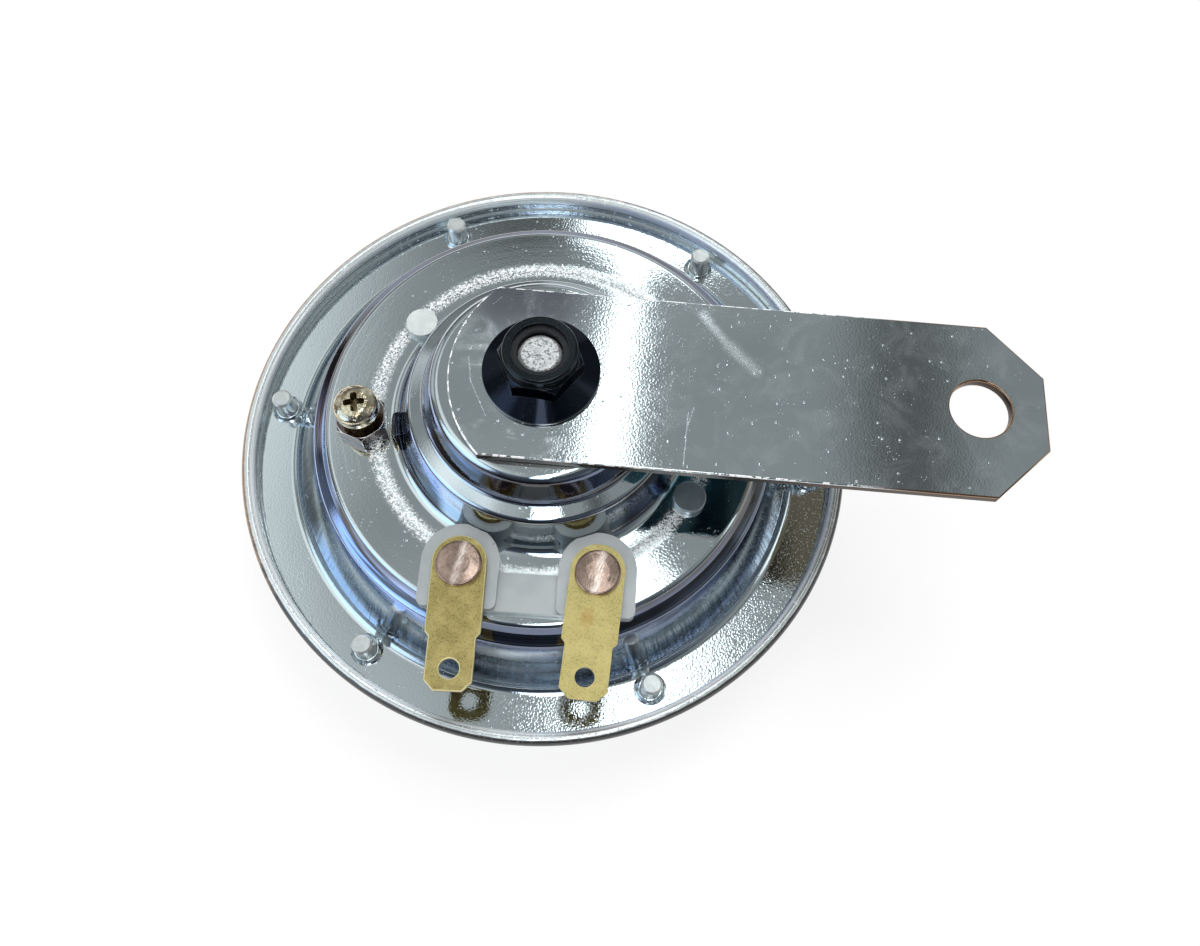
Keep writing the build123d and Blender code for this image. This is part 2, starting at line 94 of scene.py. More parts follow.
class Finish:
    def __init__(self, tree):
        self.tree = tree
        self.tree.nodes.clear()

    # A node of any type: its settings first, then the values or links of its sockets
    def add(self, kind, settings=None, values=None, output=0):
        node = self.tree.nodes.new(kind)
        for name, value in (settings or {}).items():
            setattr(node, name, value)
        for name, value in (values or {}).items():
            if isinstance(value, Field):
                self.tree.links.new(value.socket, node.inputs[name])
            else:
                node.inputs[name].default_value = (*value, 1.0) if isinstance(value, tuple) else value
        return Field(self, node.outputs[output]) if node.outputs else None

    # Object coordinates in millimetres
    def place(self):
        coords = self.add("ShaderNodeTexCoord", output="Object")
        return self.add("ShaderNodeVectorMath", {"operation": "SCALE"}, {0: coords, "Scale": 1 / mm})

    def parts(self, vector):
        return [self.add("ShaderNodeSeparateXYZ", None, {0: vector}, axis) for axis in ("X", "Y", "Z")]

    def join(self, x, y, z):
        return self.add("ShaderNodeCombineXYZ", None, {0: x, 1: y, 2: z})

    def angle(self, x, y):
        return self.add("ShaderNodeMath", {"operation": "ARCTAN2"}, {0: y, 1: x})

    def noise(self, vector, scale, detail=2.0, rough=0.5, warp=0.0):
        values = {"Vector": vector, "Scale": scale, "Detail": detail, "Roughness": rough, "Distortion": warp}
        return self.add("ShaderNodeTexNoise", None, values)

    def cells(self, vector, scale):
        return self.add("ShaderNodeTexVoronoi", None, {"Vector": vector, "Scale": scale})

    # 1 on the small faces that break a piece's edges
    def edges(self):
        return self.add("ShaderNodeAttribute", {"attribute_name": "edge"}, output="Fac")

    def colour(self, factor, first, second):
        return self.add("ShaderNodeMix", {"data_type": "RGBA"}, {0: factor, 6: first, 7: second}, 2)

    # Colours laid over a first one in turn, each where its mask is 1
    def layers(self, tint, *layers):
        for mask, colour in layers:
            tint = self.colour(mask, tint, colour)
        return tint

    def bump(self, height):
        return self.add("ShaderNodeBump", None, {"Strength": 1.0, "Distance": mm, "Height": height})

    def surface(self, values):
        shader = self.add("ShaderNodeBsdfPrincipled", None, values)
        self.add("ShaderNodeOutputMaterial", None, {"Surface": shader})


def newFinish(name):
    material = bpy.data.materials.new(name)
    material.use_nodes = True
    return material, Finish(material.node_tree)


# How far a point is from where x and y are both 0
def distance(x, y):
    return (x * x + y * y).power(0.5)


def largest(fields):
    top = fields[0]
    for field in fields[1:]:
        top = top.over(field)
    return top


# How far a point lies from a straight mark between two points, in the plane of the bracket
def markDistance(x, y, start, end):
    runX = end[0] - start[0]
    runY = end[1] - start[1]
    square = runX * runX + runY * runY
    along = ((x - start[0]) * (runX / square) + (y - start[1]) * (runY / square)).over(0.0).under(1.0)
    return distance(x - start[0] - along * runX, y - start[1] - along * runY)


# Noise laid out round the axis. Where the angle jumps, it fades into a second one that runs on there.
def around(finish, x, y, pace, second, third, detail, rough):
    fields = []
    for side in (1.0, -1.0):
        angle = finish.angle(x * side, y * side)
        fields.append(finish.noise(finish.join(angle * pace, second, third), 1.0, detail, rough))
    fade = (x / distance(x, y)).step(-0.80, -0.92)
    return fields[0] + (fields[1] - fields[0]) * fade


# In the settings of all finishes, places and heights are in millimetres. A noise has its scale per millimetre,
# detail and roughness. Two numbers are where a step begins and ends, or a middle and its reach.
chrome = {
    "colour": (0.75, 0.815, 0.83),
    "roughness": 0.035,
    "grain": (3.6, 1.0, 0.5),
    "grainHeight": 0.0048,
    "waves": (0.11, 1.0, 0.5),
    "waveHeight": 0.012,
    "speckEdge": (0.16, 0.06),
    "speckPatches": (0.35, 2.0),
    "patchEdge": (1.0, 1.05),    # less the amount of specks
}


def chromeGrain(finish, place, strength=1.0):
    grain = finish.noise(place, *chrome["grain"]) - 0.5
    waves = finish.noise(place, *chrome["waves"]) - 0.5
    return grain * (chrome["grainHeight"] * strength) + waves * chrome["waveHeight"]


def chromeSpecks(finish, place, scale, amount):
    spots = finish.cells(place, scale).step(*chrome["speckEdge"])
    low, high = chrome["patchEdge"]
    return spots * finish.noise(place, *chrome["speckPatches"]).step(low - amount, high - amount)


# Chrome of the pressed shell: drawn walls with painted reflections and shade, a frosted crease round the
# shoulder that is painted pale as a highlight, and a grainy flange with painted glints
shellLook = {
    # Colours painted on the walls and steps as their reflections and shade
    "wallReflectionColour": (0.38, 0.45, 0.57),
    "wallPaleReflection": (0.90, 0.95, 1.0),
    "wallShade": (0.05, 0.045, 0.05),
    "stepReflectionColour": (0.11, 0.135, 0.22),
    "stepBlueReflection": (0.42, 0.56, 0.95),
    "frostHighlightColour": (0.90, 0.93, 0.94),
    "flange": (38.6, 39.4),      # this and the next are radii
    "wallTop": (35.3, 36.3),
    "wallFoot": (36.7, 1.8),
    "drawnWall": (36.2, 2.4),
    "shoulder": (31.6, 31.0),
    "crease": (24.5, 1.6),
    "bossFoot": (20.1, 1.6),
    "steepWalls": ((35.6, 3.4), (32.5, 1.5), (19.9, 1.7), (15.9, 1.3)),
    "markedWalls": ((35.9, 2.2, 1.0), (19.9, 1.4, 0.6), (15.9, 1.2, 0.4)),   # with the strength of the marks
    "markPace": 90.0,            # marks per radian
    "markHeight": 0.030,
    "markPatches": (0.16, 2.0),
    "patchEdge": (0.35, 0.6),
    "streakPace": 1.1,
    "streakEdge": (-0.09, 0.09),
    "ringPace": 0.9,
    "ringHeight": 0.006,
    "fray": (2.2, 3.0, 0.75),
    "frayReach": 1.9,
    "creaseRoughness": 0.18,
    "sparkle": (3.4, 2.0, 0.8),
    "sparkleEdge": (0.485, 0.535),
    "sparkleHeight": 0.05,
    "coarseX": (-10.0, 3.0),     # where the flange is coarse
    "coarseY": (12.0, 0.0),
    "glints": (3.0, 1.0, 0.6),
    "glintEdge": (0.60, 0.65),
    "specks": ((0.9, 0.46), (1.9, 0.46)),   # scale and amount
    "speckHeight": 0.012,
    "speckRoughness": 0.25,
    "blueReflectionX": (-4.0, -18.0),      # where the steps of the boss get a painted blue reflection
    "blueReflectionY": (4.0, -6.0),
    "blockX": (13.5, 11.5),      # beside the terminals' block
    "blockY": (-12.0, -15.0),
}


def shellChrome():
    look = shellLook
    material, finish = newFinish("shellChrome")
    place = finish.place()
    x, y, z = finish.parts(place)
    radius = distance(x, y)
    marks = around(finish, x, y, look["markPace"], z * 0.15, radius * 0.15, 3.0, 0.6) - 0.5
    streaks = around(finish, x, y, look["streakPace"], radius * 1.9 + z * 0.9, 0.0, 3.0, 0.6) - 0.5
    rings = around(finish, x, y, look["ringPace"], radius * 0.8, 0.0, 2.0, 0.5) - 0.5
    sparkle = finish.noise(place, *look["sparkle"])
    fray = (finish.noise(place, *look["fray"]) - 0.5) * look["frayReach"]
    crease = (radius + fray).near(*look["crease"])
    # painted highlight: the rough crease is painted pale and less metallic
    frosted = (crease * 1.9 * sparkle.step(*look["sparkleEdge"])).under(1.0)
    specks = largest([chromeSpecks(finish, place, *speck) for speck in look["specks"]])
    onFlange = radius.step(*look["flange"])
    coarse = onFlange * x.step(*look["coarseX"]) * y.step(*look["coarseY"])
    # painted glints: pale, less metallic specks on the coarse part of the flange
    glints = coarse * finish.noise(place, *look["glints"]).step(*look["glintEdge"])
    marked = sum(radius.near(middle, reach) * share for middle, reach, share in look["markedWalls"])
    marked = marked * finish.noise(place, *look["markPatches"]).step(*look["patchEdge"])
    height = chromeGrain(finish, place, onFlange * 0.4 + coarse * 2.5 + 1.0)
    height = height + marks * look["markHeight"] * marked + (sparkle - 0.5) * crease * look["sparkleHeight"]
    height = height + rings * radius.step(*look["shoulder"]) * look["ringHeight"] + specks * look["speckHeight"]

    # painted reflections and shade: walls and steps are painted darker and bluer than the flats, bluer on the
    # left front, paler at the wall's top, and with painted dark streaks
    steep = largest([radius.near(*wall) for wall in look["steepWalls"]]).step(0.0, 0.5)
    onDrawn = radius.near(*look["drawnWall"]).step(0.0, 0.3)
    shadeStreaks = (streaks * 1.2 + marks * radius.near(*look["wallFoot"]) * 1.7).step(*look["streakEdge"])
    blueReflectionSteps = x.step(*look["blueReflectionX"]) * y.step(*look["blueReflectionY"])
    # less of the painted wall reflection beside the terminals' block
    besideBlock = y.step(*look["blockY"]) * abs(x).step(*look["blockX"])
    besideBlock = besideBlock * radius.near(*look["bossFoot"]).step(0.1, 0.4)
    wallReflectionTint = finish.colour(radius.step(*look["wallTop"]), look["wallPaleReflection"], look["wallReflectionColour"])
    wallReflectionTint = finish.layers(look["stepReflectionColour"], (blueReflectionSteps, look["stepBlueReflection"]), (onDrawn, wallReflectionTint),
                             (shadeStreaks * (1 - onDrawn * 0.45), look["wallShade"]))
    finish.surface({
        "Base Color": finish.layers(chrome["colour"], (steep * (0.92 - besideBlock * 0.6), wallReflectionTint),
                                    (frosted.over(glints * 0.7), look["frostHighlightColour"])),
        "Metallic": 1 - frosted * 0.8 - glints * 0.35,
        "Roughness": crease * look["creaseRoughness"] + specks * look["speckRoughness"] + chrome["roughness"],
        "Normal": finish.bump(height),
    })
    return material


# Chrome of the front cover and its bead, with a painted pale sheen in rings on top of the bead, a painted pale
# reflection on its inner wall with painted shade at its foot, and a painted dark reflection on its outer edge
# that is tarnished brown on one side
coverLook = {
    "beadSheenColour": (0.90, 0.93, 0.93),
    "tarnish": (0.36, 0.25, 0.17),
    # the next colour is a painted dark reflection on the bead's outer edge
    "worn": (0.035, 0.03, 0.028),
    "innerSheenColour": (0.84, 0.89, 0.89),
    "innerBlueSheen": (0.60, 0.67, 0.82),
    "footShadeColour": (0.10, 0.13, 0.16),
    "bead": (43.9, 44.1),        # radii
    "beadOuter": (45.2, 45.4),
    "beadInner": (44.42, 44.30),
    "outerTop": (12.98, 12.91),  # heights
    "innerLow": (11.55, 11.65),
    "innerTop": (12.75, 12.65),
    "innerFoot": (11.48, 0.17),
    "blueReflectionX": (-4.0, 10.0),
    "rings": (4.2, 2.0, 0.7),
    "ringEdge": (0.44, 0.56),
    "ringHeight": 0.035,
    "ripple": (0.6, 3.0, 0.6),
    "rippleHeight": 0.05,
    "chips": (1.3, 4.0, 0.7),
    "chipEdge": (0.58, 0.7),
    "chipHeight": 0.03,
    "tarnishWay": (-0.8, 0.5),   # towards the tarnished side, in X and Y
    "tarnishEdge": (12.0, 26.0),
}


def coverChrome():
    look = coverLook
    material, finish = newFinish("coverChrome")
    place = finish.place()
    x, y, z = finish.parts(place)
    radius = distance(x, y)
    onBead = radius.step(*look["bead"])
    rings = finish.noise(finish.join(radius, z * 0.3, 0.0), *look["rings"])
    ripple = finish.noise(place, *look["ripple"]) - 0.5
    chips = finish.noise(place, *look["chips"]).step(*look["chipEdge"]) * onBead
    height = chromeGrain(finish, place) + (rings - 0.5) * onBead * look["ringHeight"]
    height = height + ripple * onBead * look["rippleHeight"] + chips * look["chipHeight"]
    outer = radius.step(*look["beadOuter"]) * (z + ripple * 0.12).step(*look["outerTop"])
    wayX, wayY = look["tarnishWay"]
    tarnished = (x * wayX + y * wayY + ripple * 30.0).step(*look["tarnishEdge"])
    # painted highlight: pale rings on the bead, painted less metallic
    rubsAndSheen = onBead * (rings.step(*look["ringEdge"]) * 0.8 + 0.15)
    # painted reflection and shade: a pale band high on the bead's inner wall, bluer on the right, and a painted
    # dark line at its foot
    inside = radius.step(*look["beadInner"])
    inner = inside * z.step(*look["innerLow"]) * z.step(*look["innerTop"])
    innerSheenTint = finish.colour(x.step(*look["blueReflectionX"]), look["innerSheenColour"], look["innerBlueSheen"])
    # painted dark reflection on the outer edge, brown where it is tarnished
    edgeTint = finish.colour(tarnished, look["worn"], look["tarnish"])
    finish.surface({
        "Base Color": finish.layers(chrome["colour"], (rubsAndSheen * 0.8, look["beadSheenColour"]), (inner, innerSheenTint),
                                    (inside * z.near(*look["innerFoot"]) * 0.9, look["footShadeColour"]),
                                    (outer * 0.9, edgeTint)),
        "Metallic": 1 - (rubsAndSheen * 0.75).over(inner * 0.6),
        "Roughness": chrome["roughness"] + onBead * 0.12 + chips * 0.2 + outer * 0.1,
        "Normal": finish.bump(height),
    })
    return material


# Chrome of the bracket: scratches, smudges round the nut, pits, burred and rusty edges, painted highlights on
# the burrs, painted shade on its sides and in a patch by the nut, and a painted reflection underneath
bracketLook = {
    "shadePatchColour": (0.30, 0.31, 0.37),
    "sideShadeColour": (0.07, 0.05, 0.04),
    "underReflectionColour": (0.16, 0.28, 0.33),
    "underBrownReflection": (0.12, 0.105, 0.075),
    "rustColour": (0.42, 0.24, 0.13),
    "burrHighlightColour": (0.95, 0.96, 0.97),
    "scratches": (               # start, end, half width
        ((19.9, -4.2), (19.6, -11.8), 0.10),
        ((19.8, -6.4), (20.6, -3.4), 0.08),
        ((-7.6, 9.8), (-6.6, 11.0), 0.10),
        ((-9.9, 1.4), (-9.2, -2.2), 0.09),
        ((-9.2, -2.2), (-6.6, -7.0), 0.08),
    ),
    "scuffs": (                  # wide soft rubs
        ((21.2, 10.8), (24.8, 6.4), 1.15),
        ((24.8, 6.4), (28.6, 2.8), 1.45),
    ),
    "ragged": (1.6, 3.0, 0.7),
    "broken": (2.6, 2.0),
    "brokenEdge": (0.3, 0.55),
    "hairs": (2.2, 2.0, 0.6),
    "cloud": (0.17, 5.0, 0.68, 1.0),   # the last is its distortion
    "cloudEdge": (0.46, 0.70),
    "smudge": 0.16,
    "pits": (0.75, 0.50),        # scale and amount
    "fineSpecks": (2.1, 0.46),
    "burrHighlight": (1.0, 2.0),
    "burrEdge": (0.46, 0.52),
    "burrX": (48.0, 38.0),
    "rustX": (40.0, 52.0),
    "brownX": (33.0, 38.0),
    "nutReach": (15.0, 8.0),
    "nutX": (9.0, 4.0),
    "shadePatchY": (3.0, 10.0),
    "shadePatchRight": (7.0, 1.0),
    "shadePatchLeft": (-13.0, -7.0),
    "sideTop": (33.93, 33.86),   # heights
    "sideLow": (32.62, 32.75),
    "underTop": (32.72, 32.60),
    "topEdges": (33.5, 33.8),
    "grainStrength": 1.2,
}


def bracketChrome():
    look = bracketLook
    material, finish = newFinish("bracketChrome")
    place = finish.place()
    x, y, z = finish.parts(place)
    ragged = (finish.noise(place, *look["ragged"]) - 0.5) * 0.5
    hairs = finish.noise(finish.join(x * 0.25 + y * 1.3, y * 0.3 - x * 1.1, z), *look["hairs"])
    scored = largest([(markDistance(x, y, start, end) + ragged * width).step(width, width * 0.3)
                      for start, end, width in look["scratches"]])
    scored = scored * finish.noise(place, *look["broken"]).step(*look["brokenEdge"])
    rubsAndSheen = largest([(markDistance(x, y, start, end) + ragged * 0.8).step(width, 0.0)
                      for start, end, width in look["scuffs"]])
    rubsAndSheen = rubsAndSheen * (hairs * 0.8 + 0.3)
    nearNut = distance(x, y).step(*look["nutReach"]) * x.step(*look["nutX"])
    cloud = finish.noise(finish.join(x, y, 0.0), *look["cloud"])
    smudges = cloud.step(*look["cloudEdge"]) * (nearNut * 0.9 + 0.22)
    pits = chromeSpecks(finish, place, *look["pits"])
    fine = chromeSpecks(finish, place, *look["fineSpecks"])
    # painted shade on the bracket's sides
    side = z.step(*look["sideTop"]) * z.step(*look["sideLow"])
    # painted reflection: the underside is painted teal, brown towards the far end
    under = z.step(*look["underTop"])
    edges = finish.edges() * z.step(*look["topEdges"])
    # painted highlight: bright dashes on the burred top edges, painted pale and less metallic
    burrHighlight = edges * finish.noise(place, *look["burrHighlight"]).step(*look["burrEdge"]) * x.step(*look["burrX"])
    # painted shade: a darker patch near the top of the bracket, by the nut
    shadePatch = y.step(*look["shadePatchY"]) * x.step(*look["shadePatchRight"]) * x.step(*look["shadePatchLeft"])
    height = chromeGrain(finish, place, look["grainStrength"]) + pits * 0.02 + fine * 0.008 + scored * 0.02
    height = height + (hairs - 0.5) * smudges * 0.004
    roughness = smudges * look["smudge"] + pits * 0.3 + scored * 0.35 + chrome["roughness"]
    roughness = roughness + rubsAndSheen * 0.16 + burrHighlight * 0.25 + side * 0.3 + under * 0.12
    underReflectionTint = finish.colour(x.step(*look["brownX"]), look["underReflectionColour"], look["underBrownReflection"])
    finish.surface({
        "Base Color": finish.layers(chrome["colour"], (shadePatch * 0.8, look["shadePatchColour"]),
                                    (side, look["sideShadeColour"]), (under, underReflectionTint),
                                    (edges * x.step(*look["rustX"]) * 0.95, look["rustColour"]),
                                    (burrHighlight, look["burrHighlightColour"])),
        "Metallic": 1 - burrHighlight * 0.8 - rubsAndSheen * 0.20 - smudges * 0.22,
        "Roughness": roughness,
        "Normal": finish.bump(height),
    })
    return material


# What a plain metal has where its own settings don't say otherwise
plainMetal = {
    "metallic": 1.0,
    "blotch": 0.5,
    "waves": 0.01,
    "roughSpread": 0.15,
    "specks": 0.4,
    "speckSize": 4.0,
    "speckFrom": 0.60,
    "speckSpread": 0.12,
    "speckRoughness": 0.1,
}


# A plain metal with a fine grain, blotches and specks, and a painted highlight on its broken edges where it has
# an edge highlight colour
def wornMetal(name, ownLook):
    look = {**plainMetal, **ownLook}
    material, finish = newFinish(name)
    place = finish.place()
    grain = finish.noise(place, look["grain"], 3.0, 0.65)
    blotch = finish.noise(place, look["blotch"], 3.0, 0.6)
    specks = finish.noise(place, look["speckSize"], 2.0, 0.7)
    specks = specks.step(look["speckFrom"], look["speckFrom"] + look["speckSpread"])
    tint = finish.layers(look["colour"], (blotch.step(0.3, 0.7), look["second"]),
                         (specks * look["specks"], look["speckColour"]))
    if "edgeHighlightColour" in look:
        # painted highlight on the broken edges
        tint = finish.colour(finish.edges() * 0.85, tint, look["edgeHighlightColour"])
    finish.surface({
        "Base Color": tint,
        "Metallic": look["metallic"],
        "Roughness": look["roughness"] + (grain - 0.5) * look["roughSpread"] + specks * look["speckRoughness"],
        "Normal": finish.bump((grain - 0.5) * look["height"] + (blotch - 0.5) * look["waves"]),
    })
    return material


metals = {
    "dullZinc": {
        "colour": (0.80, 0.84, 0.83),
        "second": (0.64, 0.67, 0.66),
        "speckColour": (0.92, 0.94, 0.93),
        "edgeHighlightColour": (0.97, 0.98, 0.97),
        "metallic": 0.76,
        "grain": 5.0,
        "height": 0.012,
        "roughness": 0.30,
    },
    # This and the next are one rivet metal, painted lighter as lit and darker as in shade
    "litRivet": {
        "colour": (0.66, 0.71, 0.70),
        "second": (0.57, 0.62, 0.61),
        "speckColour": (0.78, 0.81, 0.80),
        "edgeHighlightColour": (0.80, 0.85, 0.86),
        "metallic": 0.22,
        "grain": 3.0,
        "height": 0.02,
        "roughness": 0.42,
    },
    "shadedRivet": {
        "colour": (0.46, 0.52, 0.55),
        "second": (0.36, 0.41, 0.44),
        "speckColour": (0.60, 0.64, 0.66),
        "edgeHighlightColour": (0.66, 0.72, 0.76),
        "metallic": 0.80,
        "grain": 5.0,
        "height": 0.012,
        "roughness": 0.30,
    },
    "studSteel": {
        "colour": (0.97, 0.98, 0.98),
        "second": (0.66, 0.68, 0.69),
        "speckColour": (0.25, 0.26, 0.27),
        "metallic": 0.6,
        "grain": 2.6,
        "height": 0.16,
        "blotch": 1.1,
        "roughness": 0.16,
        "specks": 0.95,
        "speckSize": 3.2,
        "speckFrom": 0.50,
    },
    "plainSteel": {
        "colour": (0.42, 0.42, 0.43),
        "second": (0.34, 0.33, 0.32),
        "speckColour": (0.22, 0.20, 0.18),
        "grain": 3.0,
        "height": 0.01,
        "roughness": 0.36,
    },
    "springSteel": {
        "colour": (0.50, 0.51, 0.53),
        "second": (0.44, 0.45, 0.48),
        "speckColour": (0.30, 0.30, 0.32),
        "grain": 6.0,
        "height": 0.004,
        "roughness": 0.24,
    },
    "contactMetal": {
        "colour": (0.52, 0.52, 0.55),
        "second": (0.44, 0.44, 0.46),
        "speckColour": (0.28, 0.27, 0.27),
        "grain": 6.0,
        "height": 0.006,
        "roughness": 0.34,
    },
    "nutZinc": {
        "colour": (0.26, 0.22, 0.21),
        "second": (0.16, 0.13, 0.125),
        "speckColour": (0.10, 0.08, 0.07),
        "edgeHighlightColour": (0.85, 0.80, 0.76),
        "grain": 3.0,
        "height": 0.006,
        "roughness": 0.13,
        "specks": 0.3,
    },
    "enamelledCopper": {
        "colour": (0.50, 0.19, 0.07),
        "second": (0.42, 0.15, 0.05),
        "speckColour": (0.28, 0.10, 0.04),
        "grain": 2.0,
        "height": 0.01,
        "roughness": 0.25,
    },
}


# Stamped brass: speckled, with brushed scratches and one warm stain, painted highlights on its edges, painted
# shade on its sides and the right terminal painted lighter as lit
brassLook = {
    "colour": (0.62, 0.50, 0.20),
    "second": (0.48, 0.38, 0.14),
    "litColour": (0.78, 0.66, 0.27),
    "speckColour": (0.20, 0.15, 0.06),
    "edgeHighlightColour": (0.90, 0.80, 0.44),
    "sideShadeColour": (0.16, 0.11, 0.035),
    "stainColour": (0.56, 0.30, 0.09),
    "sideTop": (23.82, 23.76),   # height
    "litSideX": (2.0, 4.0),
    "blotch": (0.45, 3.0, 0.6),
    "specks": (3.8, 2.0, 0.8),
    "speckEdge": (0.54, 0.62),
    "hairs": (1.4, 2.0, 0.6),
    "scratchEdge": (0.64, 0.70),
    "stain": (8.9, -30.2),       # X and Y of its middle
    "stainFray": (1.6, 3.0, 0.7),
    "stainEdge": (1.3, 0.2),
    "metallic": 0.90,
    "roughness": 0.35,
}


def brassSheet():
    look = brassLook
    material, finish = newFinish("brassSheet")
    place = finish.place()
    x, y, z = finish.parts(place)
    blotch = finish.noise(place, *look["blotch"])
    specks = finish.noise(place, *look["specks"]).step(*look["speckEdge"])
    hairs = finish.noise(finish.join(x * 3.0 + y * 1.6, y * 0.3 - x * 0.5, z), *look["hairs"])
    # painted light: the right terminal, past an X of 4 mm, is painted brighter than the left
    litSide = x.step(*look["litSideX"])
    speckled = specks * (blotch.step(0.4, 0.6) * 0.3 + (1 - litSide) * 0.25 + 0.2)
    offX = x - look["stain"][0]
    offY = y - look["stain"][1]
    fray = (finish.noise(place, *look["stainFray"]) - 0.5) * 2.4
    stain = (offX * offX + offY * offY * 0.4).power(0.5) + fray
    finish.surface({
        "Base Color": finish.layers(look["colour"], (blotch.step(0.35, 0.65), look["second"]),
                                    (litSide * 0.6, look["litColour"]), (speckled, look["speckColour"]),
                                    (stain.step(*look["stainEdge"]) * 0.6, look["stainColour"]),
                                    (hairs.step(*look["scratchEdge"]) * 0.22, look["edgeHighlightColour"]),
                                    # painted highlight on the broken edges
                                    (finish.edges() * 0.9, look["edgeHighlightColour"]),
                                    # painted shade on the sheet's sides
                                    (z.step(*look["sideTop"]) * 0.9, look["sideShadeColour"])),
        "Metallic": look["metallic"],
        "Roughness": look["roughness"] + specks * 0.12 + (blotch - 0.5) * 0.1,
        "Normal": finish.bump((hairs - 0.5) * 0.005 + (blotch - 0.5) * 0.012 - specks * 0.004),
    })
    return material


rivetPlaces = ((-8.83, -24.52), (9.77, -24.17))   # X and Y of the terminals' rivets

# Copper rivet heads, turned and scratched, with a painted highlight streak down each and a painted shade ring
# just inside the edge
copperLook = {
    "colour": (0.62, 0.45, 0.37),
    "second": (0.46, 0.32, 0.26),
    "streakHighlightColour": (1.0, 0.90, 0.82),
    # dark: for worn patches, and for the painted shade ring round each head
    "dark": (0.17, 0.10, 0.08),
    "rim": (2.86, 0.16),
    "highlightStreak": (0.1, 0.85),
    "streakLean": 0.18,
    "blotch": (0.7, 3.0, 0.6),
    "hairs": (1.5, 3.0, 0.7),
    "worn": (0.9, 3.0, 0.65),
    "wornEdge": (0.55, 0.70),
    "roughness": 0.20,
}


def copperHead():
    look = copperLook
    material, finish = newFinish("copperHead")
    place = finish.place()
    x, y, z = finish.parts(place)
    offsets = [(x - middleX, y - middleY) for middleX, middleY in rivetPlaces]
    # painted shade: a dark ring just inside each head's edge
    rim = largest([distance(offX, offY).near(*look["rim"]) for offX, offY in offsets])
    # painted highlight: a pale streak down each head
    highlightStreak = largest([(offX - offY * look["streakLean"]).near(*look["highlightStreak"]) for offX, offY in offsets])
    blotch = finish.noise(place, *look["blotch"])
    hairs = finish.noise(finish.join(x * 2.6 - y * 1.1, y * 0.4 + x * 0.2, z), *look["hairs"])
    worn = finish.noise(place, *look["worn"]).step(*look["wornEdge"])
    finish.surface({
        "Base Color": finish.layers(look["colour"], (blotch.step(0.35, 0.65), look["second"]),
                                    (highlightStreak * hairs.step(0.35, 0.6) * 0.9, look["streakHighlightColour"]),
                                    (worn * 0.35, look["dark"]), (rim * 0.55, look["dark"])),
        "Metallic": 1 - highlightStreak * 0.35,
        "Roughness": look["roughness"] + worn * 0.15,
        "Normal": finish.bump((hairs - 0.5) * 0.012 + (blotch - 0.5) * 0.025),
    })
    return material


screwAxis = (-25.80, -3.80)   # X and Y of the adjusting screw

# Bright yellowish zinc of the adjusting screw, with painted shade inside the cross recess
screwLook = {
    "colour": (0.96, 0.88, 0.66),
    "second": (0.60, 0.47, 0.30),
    "dark": (0.12, 0.085, 0.035),
    "recessTop": (27.72, 27.37),
    "recessRadius": (2.2, 2.1),
    "blotch": (0.9, 3.0, 0.6),
    "grain": (2.4, 3.0, 0.7),
    "roughness": 0.11,
}


def screwZinc():
    look = screwLook
    material, finish = newFinish("screwZinc")
    place = finish.place()
    x, y, z = finish.parts(place)
    radius = distance(x - screwAxis[0], y - screwAxis[1])
    # painted shade inside the cross recess
    inside = z.step(*look["recessTop"]) * radius.step(*look["recessRadius"])
    blotch = finish.noise(place, *look["blotch"])
    grain = finish.noise(place, *look["grain"])
    finish.surface({
        "Base Color": finish.layers(look["colour"], (blotch.step(0.35, 0.65), look["second"]),
                                    (inside * 0.85, look["dark"])),
        "Metallic": 1.0,
        "Roughness": look["roughness"] + inside * 0.25,
        "Normal": finish.bump((grain - 0.5) * 0.016 + (blotch - 0.5) * 0.12),
    })
    return material


# Black plated nut: a dark mirror with a greyer turned collar, painted highlights on its broken edges and
# lighter scratches
nutLook = {
    "colour": (0.004, 0.008, 0.018),
    "collarColour": (0.016, 0.022, 0.026),
    "edgeHighlightColour": (0.20, 0.23, 0.25),
    "collar": (38.75, 38.95),    # height
    "turning": (5.0, 2.0, 0.6),
    "scratches": (1.6, 4.0, 0.75),
    "scratchEdge": (0.62, 0.70),
    "metallic": 0.9,
    "roughness": 0.13,
    "coat": 0.25,
    "coatRoughness": 0.06,
}


def nutBlack():
    look = nutLook
    material, finish = newFinish("nutBlack")
    place = finish.place()
    x, y, z = finish.parts(place)
    collar = z.step(*look["collar"])
    turned = finish.noise(finish.join(distance(x, y), z, 0.0), *look["turning"])
    scratch = finish.noise(finish.join(x * 1.8, y * 1.8, z * 0.5), *look["scratches"])
    scratch = scratch.step(*look["scratchEdge"])
    finish.surface({
        "Base Color": finish.layers(look["colour"], (collar, look["collarColour"]),
                                    ((scratch * 0.25).over(finish.edges() * 0.7), look["edgeHighlightColour"])),
        "Metallic": look["metallic"],
        "Roughness": look["roughness"] + collar * 0.06 + scratch * 0.1,
        "Normal": finish.bump((turned - 0.5) * collar * 0.02 + scratch * -0.004),
        "Coat Weight": look["coat"],
        "Coat Roughness": look["coatRoughness"],
    })
    return material


# Moulded or cut stuff that isn't metal
def solidStuff(name, look):
    material, finish = newFinish(name)
    place = finish.place()
    grain = finish.noise(place, look["grain"], 3.0, 0.6) - 0.5
    cloud = finish.noise(place, 0.25, 2.0, 0.5)
    finish.surface({
        "Base Color": finish.colour(cloud.step(0.3, 0.7), look["colour"], look["second"]),
        "Roughness": look["roughness"] + grain * 0.12,
        "Normal": finish.bump(grain * look["height"]),
        **look.get("sockets", {}),
    })
    return material


